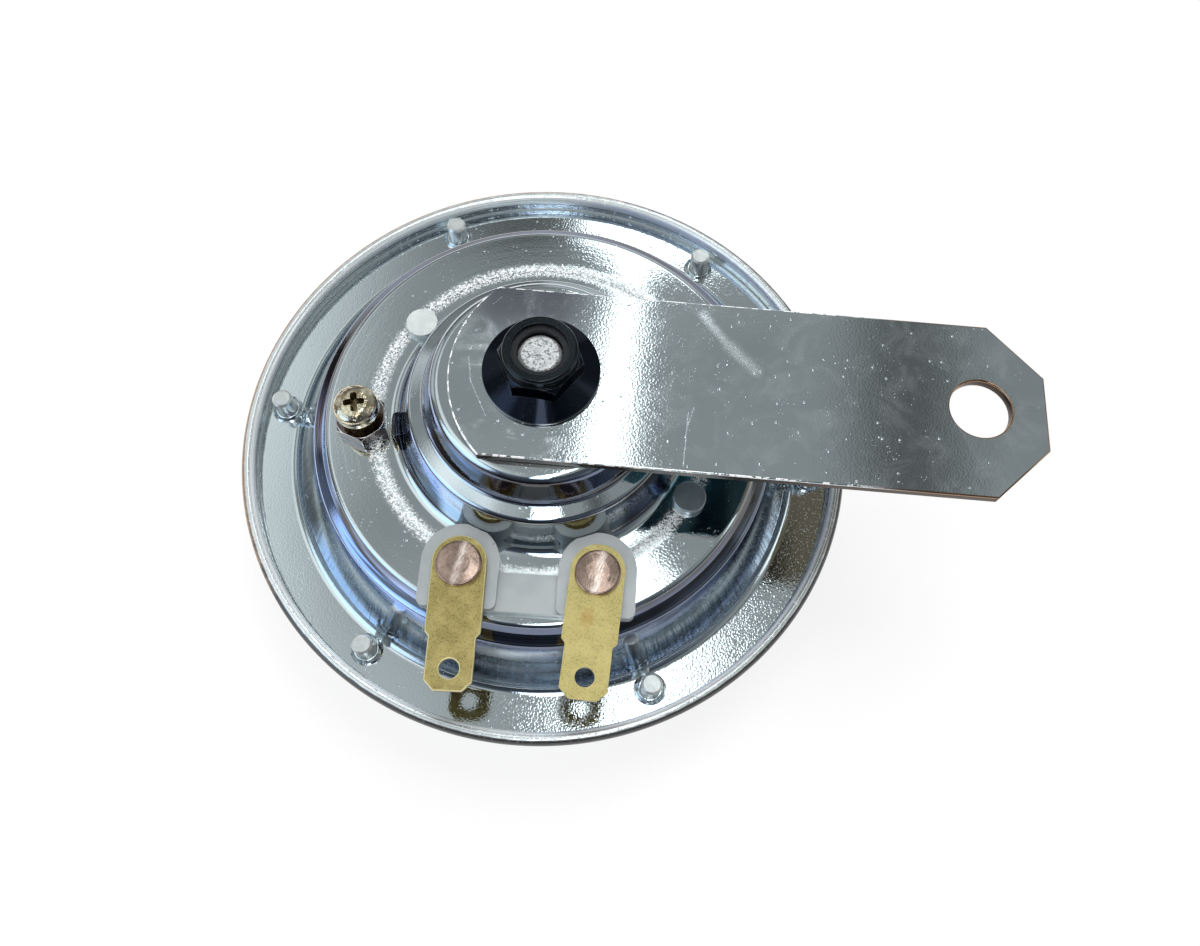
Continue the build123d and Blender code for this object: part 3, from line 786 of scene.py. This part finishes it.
stuffs = {
    "blackNylon": {
        "colour": (0.006, 0.007, 0.009),
        "second": (0.010, 0.011, 0.013),
        "grain": 3.0,
        "height": 0.008,
        "roughness": 0.4,
    },
    "milkyNylon": {
        "colour": (0.54, 0.58, 0.59),
        "second": (0.45, 0.50, 0.51),
        "grain": 1.2,
        "height": 0.010,
        "roughness": 0.30,
        "sockets": {"Transmission Weight": 0.45, "IOR": 1.5},
    },
    "brownFibre": {
        "colour": (0.22, 0.10, 0.05),
        "second": (0.17, 0.08, 0.04),
        "grain": 2.4,
        "height": 0.01,
        "roughness": 0.6,
    },
    "gasketRubber": {
        "colour": (0.03, 0.03, 0.03),
        "second": (0.045, 0.045, 0.045),
        "grain": 2.0,
        "height": 0.02,
        "roughness": 0.75,
    },
}

finishes = {name: wornMetal(name, look) for name, look in metals.items()}
finishes.update({name: solidStuff(name, look) for name, look in stuffs.items()})
for makeFinish in (shellChrome, coverChrome, bracketChrome, brassSheet, copperHead, screwZinc, nutBlack):
    made = makeFinish()
    finishes[made.name] = made
print("finishes made:", len(finishes))


mergeDistance = 0.002   # millimetres


def onlyVerts(items):
    return [item for item in items if isinstance(item, bmesh.types.BMVert)]


def mergeDoubles(bm):
    bmesh.ops.remove_doubles(bm, verts=bm.verts, dist=mergeDistance * mm)


def markSharp(bm, sharpAngle):
    for edge in bm.edges:
        edge.smooth = len(edge.link_faces) == 2 and edge.calc_face_angle(0.0) < radians(sharpAngle)


def meshFrom(bm, name):
    mesh = bpy.data.meshes.new(name)
    bm.to_mesh(mesh)
    bm.free()
    return mesh


def smoothMesh(bm, name):
    for face in bm.faces:
        face.smooth = True
    return meshFrom(bm, name)


def finishMesh(bm, name, sharpAngle=30.0):
    mergeDoubles(bm)
    bmesh.ops.recalc_face_normals(bm, faces=bm.faces)
    markSharp(bm, sharpAngle)
    return smoothMesh(bm, name)


# Break the given edges and mark the new faces for the finishes that paint edge highlights and rust there
def breakEdges(bm, edges, width, segments):
    layer = bm.faces.layers.float.get("edge")
    broken = bmesh.ops.bevel(bm, geom=edges, offset=width * mm, offset_type="OFFSET", affect="EDGES",
                             segments=segments, profile=0.5, material=-1, clamp_overlap=True)
    for face in broken["faces"]:
        face[layer] = 1.0


# Flats stay flat beside their rounded edges
def evenNormals(piece):
    even = piece.modifiers.new("even", "WEIGHTED_NORMAL")
    even.mode = "FACE_AREA"
    even.keep_sharp = True


def addPiece(name, mesh, finishName, body, slotName, *nodes):
    piece = bpy.data.objects.new(name, mesh)
    bpy.context.scene.collection.objects.link(piece)
    piece.data.materials.append(finishes[finishName])
    evenNormals(piece)
    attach(piece, body)
    if nodes:
        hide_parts(*nodes)
    return piece


def spinRound(bm, steps):
    bmesh.ops.spin(bm, geom=bm.verts[:] + bm.edges[:], cent=(0, 0, 0), axis=(0, 0, 1), dvec=(0, 0, 0),
                   angle=2 * pi, steps=steps, use_merge=True, use_normal_flip=False, use_duplicate=False)


# A surface spun from a line of (radius, height) corners. The corners between its ends are rounded to the
# radii in bends, and each long run gets a support point beside each of its bends.
def spunLine(look):
    bm = bmesh.new()
    support = look["support"] * mm
    verts = [bm.verts.new((radius * mm, 0, height * mm)) for radius, height in look["corners"]]
    for pair in zip(verts, verts[1:]):
        bm.edges.new(pair)
    offsets = []
    for first, middle, last, bend in zip(verts, verts[1:], verts[2:], look["bends"]):
        turned = (middle.co - first.co).angle(last.co - middle.co)
        offsets.append(bend * tan(turned / 2))
    for vert, offset in zip(verts[1:-1], offsets):
        bmesh.ops.bevel(bm, geom=[vert], offset=offset * mm, offset_type="OFFSET", affect="VERTICES",
                        segments=look["segments"], profile=0.5, material=-1)
    for edge in [edge for edge in bm.edges if edge.calc_length() > 5 * support]:
        newEdge, newVert = bmesh.utils.edge_split(edge, edge.verts[0], support / edge.calc_length())
        far = edge if edge.calc_length() > newEdge.calc_length() else newEdge
        bmesh.utils.edge_split(far, far.other_vert(newVert), support / far.calc_length())
    spinRound(bm, look["steps"])
    return bm


def turnVerts(bm, verts, angle):
    bmesh.ops.rotate(bm, verts=verts, cent=(0, 0, 0), matrix=Matrix.Rotation(angle, 3, "Z"))


# Copies of everything in the mesh, evenly round the axis
def repeatRound(bm, count):
    first = bm.verts[:] + bm.edges[:] + bm.faces[:]
    for index in range(1, count):
        copied = bmesh.ops.duplicate(bm, geom=first)["geom"]
        turnVerts(bm, onlyVerts(copied), 2 * pi * index / count)


def faceUp(bm):
    bmesh.ops.recalc_face_normals(bm, faces=bm.faces)
    if sum(face.normal.z * face.calc_area() for face in bm.faces) < 0:
        bmesh.ops.reverse_faces(bm, faces=bm.faces)


# A chromed sheet spun from its line. Its thickness goes below it for a side of -1 and above it for 1.
def pressedSheet(name, look, finishName, node, side):
    bm = spunLine(look)
    mergeDoubles(bm)
    faceUp(bm)
    piece = addPiece(name, smoothMesh(bm, name), finishName, "housing", "bright_chrome", node)
    sheet = piece.modifiers.new("sheet", "SOLIDIFY")
    piece.modifiers.move(1, 0)
    sheet.thickness = look["sheet"] * mm
    sheet.offset = side
    sheet.use_even_offset = True
    sheet.use_quality_normals = True
    return piece


# A bar with rounded upright edges, its foot narrowed by taper
def roundedBar(bm, size, bend, segments, taper=1.0):
    bmesh.ops.create_cube(bm, size=mm)
    bmesh.ops.scale(bm, verts=bm.verts[:], vec=size)
    low = [vert for vert in bm.verts if vert.co.z < 0]
    bmesh.ops.scale(bm, verts=low, vec=(taper, taper, 1))
    upright = [edge for edge in bm.edges if abs(edge.verts[0].co.z - edge.verts[1].co.z) > size[2] / 2 * mm]
    bmesh.ops.bevel(bm, geom=upright, offset=bend * mm, offset_type="OFFSET", affect="EDGES",
                    segments=segments, profile=0.5, material=-1, clamp_overlap=True)


def cut(piece, cutterMesh):
    cutter = bpy.data.objects.new("cutter", cutterMesh)
    bpy.context.scene.collection.objects.link(cutter)
    hole = piece.modifiers.new("cut", "BOOLEAN")
    hole.object = cutter
    hole.operation = "DIFFERENCE"
    hole.solver = "EXACT"
    solid = piece.evaluated_get(bpy.context.evaluated_depsgraph_get())
    mesh = bpy.data.meshes.new_from_object(solid)
    piece.modifiers.clear()
    evenNormals(piece)
    piece.data = mesh
    bpy.data.objects.remove(cutter)
    bm = bmesh.new()
    bm.from_mesh(mesh)
    markSharp(bm, 30)
    bm.to_mesh(mesh)
    bm.free()


# Back shell, pressed from chromed sheet. Sizes of all pieces are in millimetres, angles in degrees.
shell = {
    "sheet": 0.9,
    "corners": [
        (3.0, 32.6), (15.1, 32.6), (16.6, 27.95), (18.9, 27.15), (20.9, 21.15), (23.9, 21.15),
        (24.5, 21.0), (31.4, 21.0), (32.3, 19.55), (33.7, 18.65), (38.1, 10.05), (44.05, 10.05),
    ],
    "bends": [1.5, 0.8, 1.0, 1.6, 0.3, 0.3, 0.8, 0.4, 0.7, 1.6],
    "segments": 7,
    "support": 0.12,
    "steps": 240,
}


def makeShell():
    pressedSheet("shell", shell, "shellChrome", "back_shell", -1)


# Collars drawn up round the rim screws
collars = {
    "count": 6,
    "firstAngle": -3.0,
    "circle": 40.86,
    "corners": [(1.55, 10.6), (1.85, 10.6), (1.95, 10.22), (2.4, 10.03)],
    "bends": [0.22, 0.3],
    "segments": 4,
    "support": 0.05,
    "steps": 40,
}


def makeCollars():
    bm = spunLine(collars)
    faceUp(bm)
    bmesh.ops.translate(bm, verts=bm.verts[:], vec=(collars["circle"] * mm, 0, 0))
    turnVerts(bm, bm.verts[:], radians(collars["firstAngle"]))
    repeatRound(bm, collars["count"])
    addPiece("screwCollars", smoothMesh(bm, "screwCollars"), "shellChrome", "housing", "bright_chrome")


# Front cover, slotted round the middle
cover = {
    "sheet": 0.8,
    "corners": [
        (0.0, 0.0), (10.0, 0.0), (11.5, 1.0), (27.2, 1.0), (28.7, 0.0), (32.7, 0.0),
        (36.8, 7.0), (44.9, 7.0), (44.9, 12.05),
    ],
    "bends": [1.0, 1.0, 1.0, 1.0, 2.0, 1.5, 0.7],
    "segments": 7,
    "support": 0.12,
    "steps": 240,
    "slots": 18,
    "slotInner": 13.0,
    "slotOuter": 25.7,
    "slotWidth": 2.2,
    "slotSegments": 4,           # in a quarter turn of the slot's ends
    "cutterHeight": (-2.0, 6.0),
}


def makeSlotCutter():
    inner = cover["slotInner"]
    outer = cover["slotOuter"]
    low, top = cover["cutterHeight"]
    width = cover["slotWidth"]
    bm = bmesh.new()
    roundedBar(bm, (outer - inner, width, top - low), width / 2, cover["slotSegments"])
    middle = Vector(((inner + outer) / 2, 0, (low + top) / 2)) * mm
    bmesh.ops.translate(bm, verts=bm.verts[:], vec=middle)
    repeatRound(bm, cover["slots"])
    return finishMesh(bm, "slotCutter")


def makeCover():
    piece = pressedSheet("frontCover", cover, "coverChrome", "front_cover", 1)
    cut(piece, makeSlotCutter())


# Rolled bead of the cover's rim
bead = {
    "radius": 0.95,
    "place": (45.05, 12.05),     # radius and height of its middle
    "segments": 32,
    "steps": 300,
    "sharpAngle": 60,
}


def makeBead():
    bm = bmesh.new()
    bmesh.ops.create_circle(bm, cap_ends=False, segments=bead["segments"], radius=bead["radius"] * mm,
                            matrix=Matrix.Rotation(pi / 2, 4, "X"))
    radius, height = bead["place"]
    bmesh.ops.translate(bm, verts=bm.verts[:], vec=Vector((radius, 0, height)) * mm)
    spinRound(bm, bead["steps"])
    mesh = finishMesh(bm, "rimBead", bead["sharpAngle"])
    addPiece("rimBead", mesh, "coverChrome", "housing", "bright_chrome")


# Mounting bracket, seen from the back: straight bar with cut corners and a round tail
bracket = {
    "low": 32.6,
    "top": 34.1,
    "halfWidth": 12.65,
    "farEnd": 67.6,
    "corner": 7.3,
    "tailRadius": 17.6,
    "tailCentre": 5.1,
    "tailSteps": 32,
    "holes": ((0.0, 3.0), (58.74, 4.15)),   # place along the bar, radius
    "holeSegments": 72,
    "edge": 0.22,
    "edgeSegments": 3,
    "edgeAngle": 60,
    "sharpAngle": 40,
}


def makeBracket():
    half = bracket["halfWidth"]
    end = bracket["farEnd"]
    corner = bracket["corner"]
    centre = bracket["tailCentre"]
    top = bracket["top"]
    run = sqrt(bracket["tailRadius"] ** 2 - half ** 2)
    points = [(centre - run, -half), (end - corner, -half), (end, corner - half),
              (end, half - corner), (end - corner, half)]
    bm = bmesh.new()
    verts = [bm.verts.new((x * mm, y * mm, top * mm)) for x, y in points]
    tail = bmesh.ops.spin(bm, geom=verts[:1], cent=(centre * mm, 0, 0), axis=(0, 0, 1), dvec=(0, 0, 0),
                          angle=-2 * atan2(half, run), steps=bracket["tailSteps"], use_merge=False,
                          use_normal_flip=False, use_duplicate=False)
    verts += onlyVerts(tail["geom_last"])
    for pair in zip(verts, verts[1:]):
        bm.edges.new(pair)
    for place, radius in bracket["holes"]:
        bmesh.ops.create_circle(bm, cap_ends=False, segments=bracket["holeSegments"], radius=radius * mm,
                                matrix=Matrix.Translation((place * mm, 0, top * mm)))
    bmesh.ops.triangle_fill(bm, edges=bm.edges[:], use_beauty=True)
    lowered = onlyVerts(bmesh.ops.extrude_face_region(bm, geom=bm.faces[:])["geom"])
    bmesh.ops.translate(bm, verts=lowered, vec=(0, 0, (bracket["low"] - top) * mm))
    bmesh.ops.recalc_face_normals(bm, faces=bm.faces)
    bm.faces.layers.float.new("edge")
    rims = [edge for edge in bm.edges if edge.calc_face_angle(0.0) > radians(bracket["edgeAngle"])
            and abs(edge.verts[0].co.z - edge.verts[1].co.z) < 0.1 * mm]
    breakEdges(bm, rims, bracket["edge"], bracket["edgeSegments"])
    mesh = finishMesh(bm, "mountingBracket", bracket["sharpAngle"])
    addPiece("mountingBracket", mesh, "bracketChrome", "bracket", "bright_chrome", "mounting_bracket")


# Adjusting screw: a rounded head with a cross recess on a plain shank
adjuster = {
    "turn": 12.0,
    "corners": [
        (0.0, 28.0), (1.9, 27.85), (3.0, 27.2), (3.15, 26.4), (3.15, 25.4), (2.0, 25.4), (2.0, 16.5),
        (0.0, 16.5),
    ],
    "bends": [1.6, 0.7, 0.8, 0.3, 0.1, 0.1],
    "segments": 5,
    "support": 0.1,
    "steps": 72,
    "sharpAngle": 35,
    "recess": (1.3, 4.2, 1.3),   # width, length and depth of each bar
    "recessBend": 0.3,
    "recessSegments": 4,
    "taper": 0.45,
    "worn": 0.07,
    "wornSegments": 2,
    "wornAngle": 38,
}


def makeBar(turned):
    width, length, depth = adjuster["recess"]
    bm = bmesh.new()
    roundedBar(bm, (width, length, depth * 2), adjuster["recessBend"], adjuster["recessSegments"],
               adjuster["taper"])
    turnVerts(bm, bm.verts[:], radians(adjuster["turn"] + turned))
    top = adjuster["corners"][0][1]
    bmesh.ops.translate(bm, verts=bm.verts[:], vec=Vector((*screwAxis, top)) * mm)
    return finishMesh(bm, "recessBar")


def makeAdjuster():
    bm = spunLine(adjuster)
    bmesh.ops.translate(bm, verts=bm.verts[:], vec=Vector((*screwAxis, 0)) * mm)
    mesh = finishMesh(bm, "adjustingScrew", adjuster["sharpAngle"])
    piece = addPiece("adjustingScrew", mesh, "screwZinc", "adjusting_screw", "yellow_zinc", "adjusting_screw")
    cut(piece, makeBar(0))
    cut(piece, makeBar(90))
    worn = piece.modifiers.new("worn", "BEVEL")
    piece.modifiers.move(1, 0)
    worn.width = adjuster["worn"] * mm
    worn.segments = adjuster["wornSegments"]
    worn.limit_method = "ANGLE"
    worn.angle_limit = radians(adjuster["wornAngle"])


makeShell()
makeCollars()
makeCover()
makeBead()
makeBracket()
makeAdjuster()
print("pressed pieces made")

# Fittings that keep their CAD part's shape: piece, finish, material slot, width of the broken edges
fittings = {
    "flange_nut": ("flangeNut", "nutBlack", "black_steel", 0.12),
    "nut_locking_ring": ("lockingRing", "blackNylon", "black_nylon", 0.1),
    "centre_stud": ("stud", "studSteel", "plain_steel", 0.1),
    "rim_screws": ("rimScrews", "dullZinc", "zinc_steel", 0.12),
    "plate_rivet": ("plateRivet", "shadedRivet", "zinc_steel", 0.12),
    "contact_stack_rivet": ("stackRivet", "litRivet", "zinc_steel", 0.12),
    "adjuster_lock_nut": ("adjusterNut", "nutZinc", "yellow_zinc", 0.12),
    "terminal_insulator": ("insulator", "milkyNylon", "milky_nylon", 0.15),
    "left_terminal": ("leftTerminal", "brassSheet", "brass_sheet", 0.16),
    "right_terminal": ("rightTerminal", "brassSheet", "brass_sheet", 0.16),
}
polish = {
    "flatAngle": 0.6,
    "sharpAngle": 28.0,
    "edgeSegments": 2,
}


# A copy of a CAD part with its triangles merged, its curved sides smooth and its edges broken
def makeFitting(node, name, finishName, slotName, edge):
    bm = bmesh.new()
    bm.from_mesh(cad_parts[node].data)
    mergeDoubles(bm)
    bmesh.ops.dissolve_limit(bm, angle_limit=radians(polish["flatAngle"]), verts=bm.verts[:], edges=bm.edges[:])
    bm.faces.layers.float.new("edge")
    sharp = [item for item in bm.edges if len(item.link_faces) == 2
             and item.calc_face_angle(0.0) > radians(polish["sharpAngle"])]
    breakEdges(bm, sharp, edge, polish["edgeSegments"])
    mesh = finishMesh(bm, name, polish["sharpAngle"])
    addPiece(name, mesh, finishName, "housing", slotName, node)


# Rivets of the terminals, with slightly crowned heads
terminalRivets = {
    "corners": [
        (0.0, 24.95), (1.6, 24.91), (3.1, 24.76), (3.1, 23.95), (1.5, 23.95), (1.5, 19.6), (2.6, 19.6),
        (2.6, 18.8), (0.0, 18.8),
    ],
    "bends": [3.0, 0.22, 0.08, 0.05, 0.05, 0.1, 0.1],
    "segments": 5,
    "support": 0.08,
    "steps": 72,
    "sharpAngle": 35,
}


def makeTerminalRivets():
    bm = spunLine(terminalRivets)
    first = bm.verts[:] + bm.edges[:] + bm.faces[:]
    copied = bmesh.ops.duplicate(bm, geom=first)["geom"]
    for items, place in zip((first, copied), rivetPlaces):
        bmesh.ops.translate(bm, verts=onlyVerts(items), vec=Vector((*place, 0)) * mm)
    mesh = finishMesh(bm, "terminalRivets", terminalRivets["sharpAngle"])
    addPiece("terminalRivets", mesh, "copperHead", "housing", "copper", "terminal_rivets")


for node, row in fittings.items():
    makeFitting(node, *row)
makeTerminalRivets()
print("fittings made")

# Every CAD part gets its finish, those inside and those that a piece above stands for
nodeFinishes = {
    "front_gasket": "gasketRubber",
    "rear_gasket": "gasketRubber",
    "diaphragm": "springSteel",
    "coil_bobbin": "milkyNylon",
    "coil_winding": "enamelledCopper",
    "pole_plate": "plainSteel",
    "contact_insulators": "brownFibre",
    "moving_contact_spring": "springSteel",
    "moving_contact_point": "contactMetal",
    "fixed_contact_arm": "plainSteel",
    "fixed_contact_point": "contactMetal",
    "armature": "plainSteel",
    "diaphragm_washer": "dullZinc",
    "tone_disc": "plainSteel",
    "tone_disc_nut": "dullZinc",
    "terminal_fibre_washers": "brownFibre",
    "back_shell": "shellChrome",
    "front_cover": "coverChrome",
    "mounting_bracket": "bracketChrome",
    "adjusting_screw": "screwZinc",
    "terminal_rivets": "copperHead",
}
for node, (name, finishName, slotName, edge) in fittings.items():
    nodeFinishes[node] = finishName
for node, finishName in nodeFinishes.items():
    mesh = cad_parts[node].data
    mesh.materials.clear()
    mesh.materials.append(finishes[finishName])
print("CAD parts finished")

# Floor and lamps, in metres and watts
white = (1.0, 1.0, 1.0)
stage = {
    "floorSize": 3.0,
    "floorColour": (0.90, 0.90, 0.90),
    "floorWhite": 0.8,           # how much of the floor's look is plain white to the camera and to mirrors
    "lamps": {
        "keyLamp": {"place": (0.10, 0.55, 0.95), "size": 0.7, "power": 9.0},
        "fillLamp": {"place": (-0.7, -0.35, 0.7), "size": 0.8, "power": 4.0},
    },
}


# Whether a ray comes from the camera, from a mirror or through glass
def raysSeen(finish):
    return [finish.add("ShaderNodeLightPath", output=name)
            for name in ("Is Camera Ray", "Is Glossy Ray", "Is Transmission Ray")]


def makeFloor():
    bm = bmesh.new()
    bmesh.ops.create_grid(bm, x_segments=1, y_segments=1, size=stage["floorSize"] / 2)
    floor = bpy.data.objects.new("floor", meshFrom(bm, "floor"))
    bpy.context.scene.collection.objects.link(floor)
    material, finish = newFinish("floorPaper")
    seen = largest(raysSeen(finish))
    paper = finish.add("ShaderNodeBsdfDiffuse", None, {"Color": stage["floorColour"]})
    glow = finish.add("ShaderNodeEmission", None, {"Color": white, "Strength": 1.0})
    both = finish.add("ShaderNodeMixShader", None, {0: seen * stage["floorWhite"], 1: paper, 2: glow})
    finish.add("ShaderNodeOutputMaterial", None, {"Surface": both})
    floor.data.materials.append(material)


def makeLamps():
    for name, look in stage["lamps"].items():
        lamp = bpy.data.lights.new(name, "AREA")
        lamp.shape = "SQUARE"
        lamp.size = look["size"]
        lamp.energy = look["power"]
        thing = bpy.data.objects.new(name, lamp)
        bpy.context.scene.collection.objects.link(thing)
        thing.location = look["place"]
        thing.rotation_euler = Vector(look["place"]).to_track_quat("Z", "Y").to_euler()
        thing.visible_glossy = False


# What the metal mirrors: a grey room with a strip lamp over the horn, darker and bluer towards the floor.
# Names with X or Y are slopes: how far a ray leans along X or Y for each unit that it climbs.
room = {
    "plain": 0.55,               # the even light on all that isn't a mirror
    "wall": 0.09,
    "ceiling": 0.29,
    "rise": (0.10, 0.72),        # heights of a ray, from 0 level to 1 upright
    "high": (0.70, 0.82),
    "leastClimb": 0.04,
    "cloud": (3.4, 3.0, 0.6, 0.4),
    "cool": (0.93, 1.0, 1.02),
    "navy": (0.66, 0.78, 1.0),
    "violet": (0.52, 0.56, 1.0),
    "violetBand": (0.11, 0.12),
    "brown": (1.0, 0.74, 0.55),
    "brownTop": (0.30, 0.10),
    "leftX": (-0.23, -0.40),     # lighter walls on the left
    "leftLevel": 0.50,
    "nearLeftX": (-0.02, -0.22),
    "nearLeftY": (0.34, 0.12),
    "nearLeftLevel": 0.20,
    "behindX": (-0.13, 0.15),    # a dark shape behind the strip
    "behindY": (0.74, 0.13),
    "behindDark": 0.75,
    "beamX": (0.335, 0.11),      # a dark beam on the right
    "beamDark": 0.6,
}
# A pale band of windows round the walls
windows = {
    "count": 5.0,
    "turned": 0.8,
    "edge": (0.0, 0.4),
    "low": (0.05, 0.12),
    "top": (0.62, 0.50),
    "level": 0.32,
    "between": 0.02,
}
# The strip lamp leans with slopeY and spreads at both ends
strip = {
    "level": 3.0,
    "middle": -0.028,
    "middleLean": 0.058,
    "width": 0.0278,
    "widthLean": -0.059,
    "farY": (0.66, 0.72),
    "farMiddle": 0.040,
    "farWidth": 0.100,
    "nearY": (0.37, 0.22),
    "nearMiddle": 0.080,
    "nearWidth": 0.012,
    "edge": (0.038, 0.004),
    "nearEndY": (-0.9, -0.6),
    "farEndY": (1.3, 0.85),
}
# The front is dark, with a blue window low on the left and a pane on the right
front = {
    "dark": 0.72,
    "from": (-0.10, -0.40),
    "top": (0.93, 0.82),
    "sides": (0.45, 0.75),
    "sideShare": 0.7,
    "sky": (0.55, 0.74, 1.0),
    "skyWay": (-0.75, -0.40, 0.53),
    "skyEdge": (0.900, 0.965),
    "skyLevel": 1.5,
    "paneWay": (0.80, 0.09, 0.59),
    "paneEdge": (0.975, 0.99),
    "paneLevel": 0.9,
}


def makeWorld():
    world = bpy.data.worlds.new("room")
    bpy.context.scene.world = world
    world.use_nodes = True
    finish = Finish(world.node_tree)
    ray = finish.add("ShaderNodeTexCoord", output="Generated")
    x, y, z = finish.parts(ray)
    climb = z.over(room["leastClimb"])
    slopeX = x / climb
    slopeY = y / climb
    high = z.step(*room["high"])
    level = z.step(*room["rise"]) * (room["ceiling"] - room["wall"]) + room["wall"]
    level = level * (finish.noise(ray, *room["cloud"]) * 0.9 + 0.55)

    turned = finish.angle(x, y) * windows["count"] + windows["turned"]
    panes = finish.add("ShaderNodeMath", {"operation": "SINE"}, {0: turned}).step(*windows["edge"])
    band = z.step(*windows["low"]) * z.step(*windows["top"])
    level = level + band * (panes * windows["level"] + windows["between"])

    left = slopeX.step(*room["leftX"]) * high
    nearLeft = slopeY.step(*room["nearLeftY"]) * slopeX.step(*room["nearLeftX"]) * high
    behind = slopeX.near(*room["behindX"]) * slopeY.near(*room["behindY"]) * high
    beam = slopeX.near(*room["beamX"]) * high
    level = level + left * room["leftLevel"] + nearLeft * room["nearLeftLevel"]
    level = level * (1 - behind * room["behindDark"]) * (1 - beam * room["beamDark"])

    far = slopeY.step(*strip["farY"])
    near = slopeY.step(*strip["nearY"])
    middle = slopeY * strip["middleLean"] + strip["middle"]
    middle = middle + far * strip["farMiddle"] + near * strip["nearMiddle"]
    width = slopeY * strip["widthLean"] + strip["width"] + far * strip["farWidth"] + near * strip["nearWidth"]
    lit = (abs(slopeX - middle) - width).step(*strip["edge"]) * high
    lit = lit * slopeY.step(*strip["nearEndY"]) * slopeY.step(*strip["farEndY"])

    dark = y.step(*front["from"]) * z.step(*front["top"])
    dark = dark * (1 - abs(x).step(*front["sides"]) * front["sideShare"])
    skyX, skyY, skyZ = front["skyWay"]
    sky = (x * skyX + y * skyY + z * skyZ).step(*front["skyEdge"])
    paneX, paneY, paneZ = front["paneWay"]
    pane = (x * paneX + y * paneY + z * paneZ).step(*front["paneEdge"])
    level = level * (1 - dark * front["dark"])
    level = level + lit * strip["level"] + sky * front["skyLevel"] + pane * front["paneLevel"]
    tint = finish.layers(room["cool"], (z.step(*room["brownTop"]) * abs(x).step(0.6, 0.95), room["brown"]),
                         (z.near(*room["violetBand"]) * y.step(0.25, 0.6), room["violet"]),
                         (dark, room["navy"]), (sky, front["sky"]))

    mirrored = finish.add("ShaderNodeBackground", None, {"Color": tint, "Strength": level})
    plain = finish.add("ShaderNodeBackground", None, {"Color": white, "Strength": room["plain"]})
    backdrop = finish.add("ShaderNodeBackground", None, {"Color": white, "Strength": 1.0})
    camera, glossy, transmitted = raysSeen(finish)
    light = finish.add("ShaderNodeMixShader", None, {0: glossy.over(transmitted), 1: plain, 2: mirrored})
    seen = finish.add("ShaderNodeMixShader", None, {0: camera, 1: light, 2: backdrop})
    finish.add("ShaderNodeOutputWorld", None, {"Surface": seen})


# The camera's place and its nearest sight in millimetres, its turn in degrees
view = {
    "place": (9.753, -60.779, 151.19),
    "turn": (21.824, -1.470, 4.619),
    "lens": 29.546,
    "sensor": 36.0,
    "clipStart": 5.0,
}


def makeCamera():
    camera = bpy.data.cameras.new("camera")
    camera.sensor_width = view["sensor"]
    camera.lens = view["lens"]
    camera.clip_start = view["clipStart"] * mm
    thing = bpy.data.objects.new("camera", camera)
    bpy.context.scene.collection.objects.link(thing)
    thing.location = Vector(view["place"]) * mm
    thing.rotation_euler = Euler([radians(angle) for angle in view["turn"]], "XYZ")
    bpy.context.scene.camera = thing


makeFloor()
makeLamps()
makeWorld()
makeCamera()
bpy.context.scene.view_settings.view_transform = "Standard"
print("stage, lamps and camera made")
